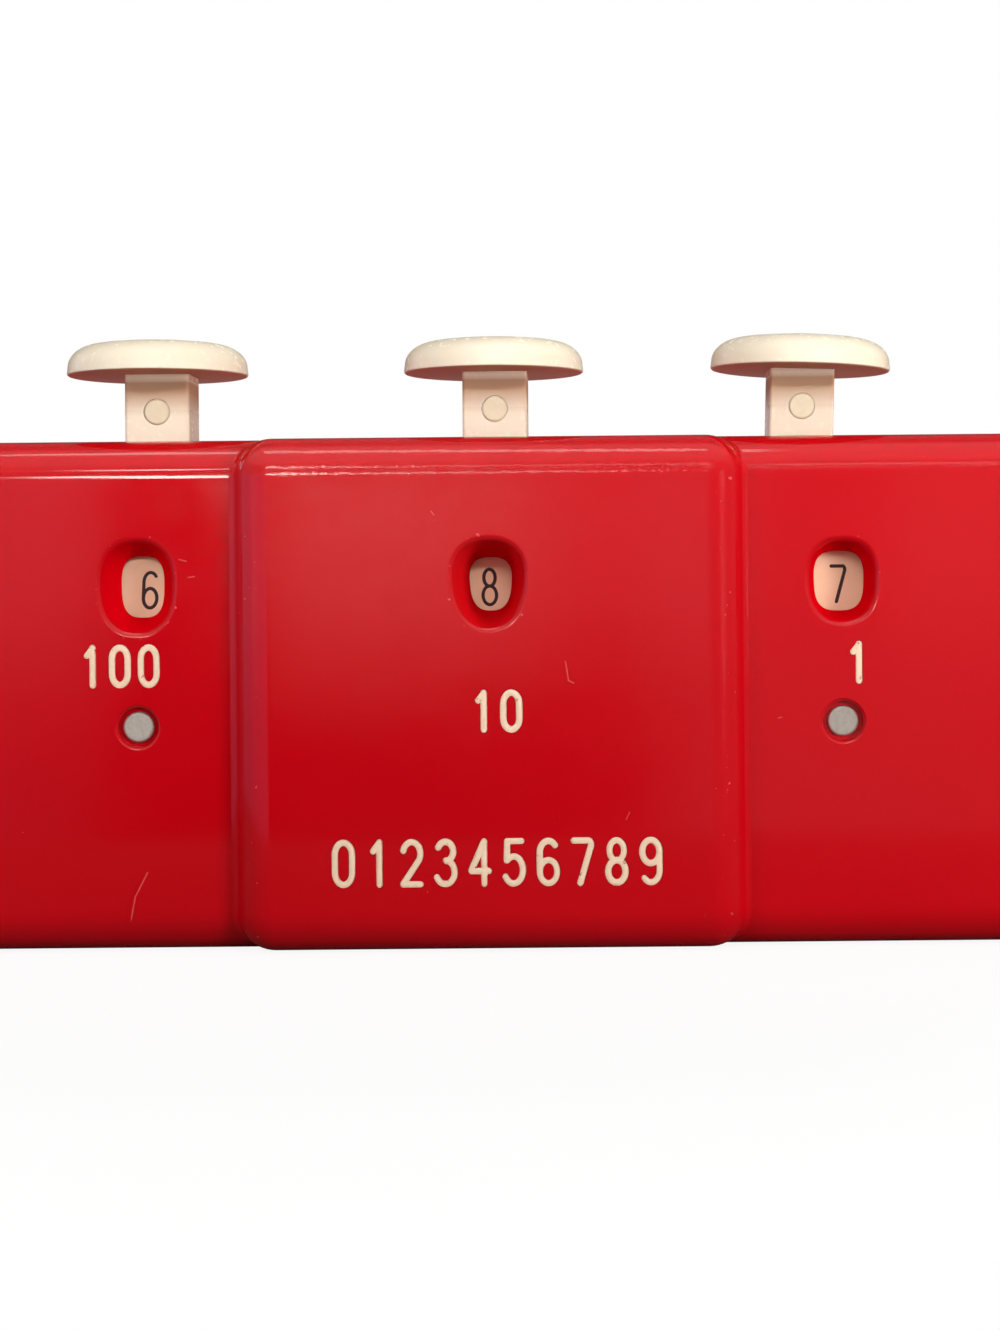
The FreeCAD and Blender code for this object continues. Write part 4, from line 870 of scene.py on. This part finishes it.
def make_floor():
    """A pale floor, seen as white, that keeps the object's shadow."""
    bm = bmesh.new()
    bmesh.ops.create_circle(bm, cap_ends=True, segments=96, radius=0.30,
                            matrix=Matrix.Translation((0.0, 0.16, 0.0)))
    floor = as_object(bm, "floor")
    material, tree = new_material("pale_backdrop_paper")
    place = add(tree, "TexCoord").outputs["Object"]
    fibre = add(tree, "TexNoise", {"Vector": place, "Scale": per(2), "Detail": 2.0})
    colour = add(tree, "Mix", {0: fibre, 6: linear("#5C5C5C"), 7: linear("#626262")},
                 data_type="RGBA")
    paper = add(tree, "BsdfDiffuse", {"Color": colour.outputs[2]})

    # It glows white to the camera, and, behind the object, to what mirrors it.
    path = add(tree, "LightPath").outputs
    depth = add(tree, "SeparateXYZ", {"Vector": place}).outputs["Y"]
    behind = add(tree, "MapRange", {"Value": depth, "From Min": 0.015, "From Max": 0.05})
    mirrored = add(tree, "Math", {
        0: path["Is Glossy Ray"], 1: path["Is Transmission Ray"]}, operation="MAXIMUM")
    mirrored = add(tree, "Math", {0: mirrored, 1: behind}, operation="MULTIPLY")
    seen = add(tree, "Math", {0: path["Is Camera Ray"], 1: mirrored}, operation="MAXIMUM")
    strength = add(tree, "Math", {0: seen, 1: 0.9}, operation="MULTIPLY")
    glow = add(tree, "Emission", {"Strength": strength})
    both = add(tree, "AddShader", {0: paper, 1: glow})
    add(tree, "OutputMaterial", {"Surface": both})
    floor.data.materials.append(material)


# What the case's gloss mirrors in front of it, from left to right: each stop a place across
# (sideways over forwards, within the room's reach) and a colour, at eye level and just above, and
# near the table.
ROOM_REACH = 0.35
ROOM_ABOVE = [
    (-0.35, (0.48, 0.44, 0.70)), (-0.210, (0.50, 0.50, 0.55)), (-0.190, (0.03, 0.02, 0.03)),
    (-0.144, (0.01, 0.01, 0.01)), (-0.127, (0.78, 0.74, 0.72)), (-0.03, (0.72, 0.68, 0.66)),
    (-0.008, (0.44, 0.42, 0.42)), (0.016, (0.46, 0.44, 0.44)), (0.032, (0.62, 0.60, 0.62)),
    (0.056, (0.56, 0.54, 0.56)), (0.070, (0.26, 0.25, 0.26)), (0.115, (0.27, 0.26, 0.27)),
    (0.135, (0.50, 0.48, 0.46)), (0.30, (0.30, 0.28, 0.28)),
]
ROOM_BELOW = [
    (-0.35, (0.28, 0.26, 0.44)), (-0.215, (0.10, 0.10, 0.12)), (-0.190, (0.0, 0.0, 0.0)),
    (-0.145, (0.0, 0.0, 0.0)), (-0.127, (0.02, 0.02, 0.02)), (0.010, (0.03, 0.03, 0.03)),
    (0.032, (0.14, 0.14, 0.14)), (0.052, (0.28, 0.26, 0.28)), (0.115, (0.26, 0.25, 0.26)),
    (0.30, (0.20, 0.18, 0.18)),
]
# The plain light that other surfaces get in place of those, what both turn to higher up and then
# overhead, and the brown of a table behind the object, below the level.
ROOM_PLAIN, ROOM_HIGHER, CEILING = (0.30, 0.25, 0.21), (0.42, 0.40, 0.39), (0.92, 0.90, 0.87)
TABLE_BROWN = (0.16, 0.075, 0.035)
# Where each part of the room sets in: an axis, and the places on it where it begins and is full.
ROOM_PARTS = {
    "level": ("Z", -0.066, 0.018), "higher": ("Z", 0.06, 0.3), "ceiling": ("Z", 0.4, 0.8),
    "rear": ("Y", 0.0, 0.3), "low": ("Z", 0.0, -0.04), "backdrop": ("Y", 0.985, 0.998),
}


def make_world():
    """White where it is seen, and behind the object in what mirrors it; otherwise a soft room,
    whose detail shows in gloss only."""
    world = bpy.data.worlds.new("studio")
    world.use_nodes = True
    tree = world.node_tree
    tree.nodes.clear()
    way = add(tree, "TexCoord").outputs["Generated"]
    parts = add(tree, "SeparateXYZ", {"Vector": way}).outputs
    path = add(tree, "LightPath").outputs
    share = {}
    for name, (axis, start, full) in ROOM_PARTS.items():
        share[name] = add(tree, "MapRange", {
            "Value": parts[axis], "From Min": start, "From Max": full,
        }, interpolation_type="SMOOTHSTEP")

    front = add(tree, "Math", {0: parts["Y"], 1: -1.0}, operation="MULTIPLY")
    front = add(tree, "Math", {0: front, 1: 0.08}, operation="MAXIMUM")
    across = add(tree, "Math", {0: parts["X"], 1: front}, operation="DIVIDE")
    across = add(tree, "MapRange", {"Value": across, "From Min": -ROOM_REACH,
                                    "From Max": ROOM_REACH})
    levels = []
    for stops in (ROOM_BELOW, ROOM_ABOVE):
        ramp = add(tree, "ValToRGB", {"Fac": across})
        ramp.color_ramp.interpolation = "EASE"
        while len(ramp.color_ramp.elements) < len(stops):
            ramp.color_ramp.elements.new(1.0)
        for element, (spot, colour) in zip(ramp.color_ramp.elements, stops):
            element.position = (spot + ROOM_REACH) / (2 * ROOM_REACH)
            element.color = (*colour, 1.0)
        levels.append(ramp)
    room = add(tree, "Mix", {0: share["level"], 6: levels[0], 7: levels[1]},
               data_type="RGBA").outputs[2]
    room = add(tree, "Mix", {0: path["Is Glossy Ray"], 6: (*ROOM_PLAIN, 1.0), 7: room},
               data_type="RGBA").outputs[2]
    for name, colour in (("higher", ROOM_HIGHER), ("ceiling", CEILING)):
        room = add(tree, "Mix", {0: share[name], 6: room, 7: (*colour, 1.0)},
                   data_type="RGBA").outputs[2]

    # Behind the object it is dimmed, and brown below the level.
    dimmed = add(tree, "Mix", {0: 0.75, 6: room, 7: (0.0, 0.0, 0.0, 1.0)},
                 data_type="RGBA").outputs[2]
    room = add(tree, "Mix", {0: share["rear"], 6: room, 7: dimmed}, data_type="RGBA").outputs[2]
    table = add(tree, "Math", {0: share["rear"], 1: share["low"]}, operation="MULTIPLY")
    room = add(tree, "Mix", {0: table, 6: room, 7: (*TABLE_BROWN, 1.0)},
               data_type="RGBA").outputs[2]

    above = add(tree, "MapRange", {"Value": parts["Z"], "From Min": -0.01, "From Max": 0.02})
    backdrop = add(tree, "Math", {0: share["backdrop"], 1: above}, operation="MULTIPLY")
    mirrored = add(tree, "Math", {
        0: path["Is Glossy Ray"], 1: path["Is Transmission Ray"]}, operation="MAXIMUM")
    mirrored = add(tree, "Math", {0: mirrored, 1: backdrop}, operation="MULTIPLY")
    white = add(tree, "Math", {0: path["Is Camera Ray"], 1: mirrored}, operation="MAXIMUM")
    sky = add(tree, "Mix", {0: white, 6: room, 7: (1.0, 1.0, 1.0, 1.0)},
              data_type="RGBA").outputs[2]
    background = add(tree, "Background", {"Color": sky})
    add(tree, "OutputWorld", {"Surface": background})
    bpy.context.scene.world = world


# The lamps: place, width and height, power, colour, aim, spread in degrees, and whether gloss
# mirrors it. The boxes light the case and aren't mirrored; the strips and panes draw its
# highlights and give no other light.
WHITE, LILAC = (1.0, 1.0, 1.0), (0.86, 0.84, 1.0)
WARM, AMBER = (1.0, 0.94, 0.90), (1.0, 0.94, 0.84)
LAMPS = {
    "front_box": ((0.06, -0.26, 0.15), 0.30, 0.02, 0.0565, WHITE, (0.02, 0.0, 0.090), 40, False),
    "right_box": ((0.30, -0.25, 0.06), 0.10, 0.10, 0.235, WHITE, (0.045, 0.0, 0.015), 90, False),
    "left_box": ((-0.45, -0.35, 0.10), 0.15, 0.20, 0.80, (0.96, 0.94, 1.0), (-0.02, 0.0, 0.04),
                 180, False),
    "rear_box": ((0.0, 1.0, 0.65), 1.0, 0.4, 12.0, WHITE, (0.0, 0.0, 0.03), 180, False),
    "overhead_strip": ((-0.06, -0.13, 0.60), 0.28, 0.07, 0.25, WARM, (0, 0, 0.05), 180, True),
    "low_strip_left": ((-0.205, -1.0, 0.207), 0.14, 0.07, 0.86, AMBER, (0, 0, 0.05), 180, True),
    "low_strip_right": ((-0.05, -1.0, 0.207), 0.17, 0.06, 0.16, WARM, (0, 0, 0.05), 180, True),
    "high_strip_left": ((-0.205, -1.0, 0.58), 0.14, 0.05, 0.46, WARM, (0, 0, 0.05), 180, True),
    "high_strip_right": ((0.06, -1.0, 0.58), 0.39, 0.045, 0.15, WARM, (0, 0, 0.05), 180, True),
    "left_pane": ((-0.96, 0.31, 0.42), 0.09, 0.50, 0.40, LILAC, (0, 0, 0.06), 180, True),
    "left_pane_far": ((-0.88, 0.49, 0.42), 0.09, 0.50, 0.40, LILAC, (0, 0, 0.06), 180, True),
}


def make_lamps():
    """The area lamps, each turned to shine at its aim."""
    for name, (place, wide, tall, power, colour, aim, spread, mirrored) in LAMPS.items():
        lamp = bpy.data.lights.new(name, "AREA")
        lamp.shape = "RECTANGLE"
        lamp.size, lamp.size_y = wide, tall
        lamp.energy = power
        lamp.color = colour
        lamp.spread = math.radians(spread)
        holder = bpy.data.objects.new(name, lamp)
        holder.location = place
        holder.visible_camera = False
        holder.visible_glossy = mirrored
        holder.visible_diffuse = not mirrored
        holder.rotation_euler = (Vector(aim) - Vector(place)).to_track_quat("-Z", "Y").to_euler()
        bpy.context.scene.collection.objects.link(holder)


# The camera: the width of its film and its lens in millimetres, its shift, its place and its roll
# in degrees.
FILM_WIDE, LENS = 36.0, 65.89
CAMERA_SHIFT, CAMERA_PLACE, CAMERA_ROLL = (-0.0677, -0.0564), (0.01116, -0.2815, 0.0398), 0.53


def make_camera():
    """Level with the windows, in front of the dimes window and a little to its right."""
    lens = bpy.data.cameras.new("camera")
    lens.sensor_width = FILM_WIDE
    lens.lens = LENS
    lens.shift_x, lens.shift_y = CAMERA_SHIFT
    lens.clip_start = 0.01
    camera = bpy.data.objects.new("camera", lens)
    camera.location = CAMERA_PLACE
    camera.rotation_euler = (math.radians(90.0), math.radians(CAMERA_ROLL), 0.0)
    bpy.context.scene.collection.objects.link(camera)
    bpy.context.scene.camera = camera


make_floor()
make_world()
make_lamps()
make_camera()
bpy.context.scene.view_settings.view_transform = "Standard"
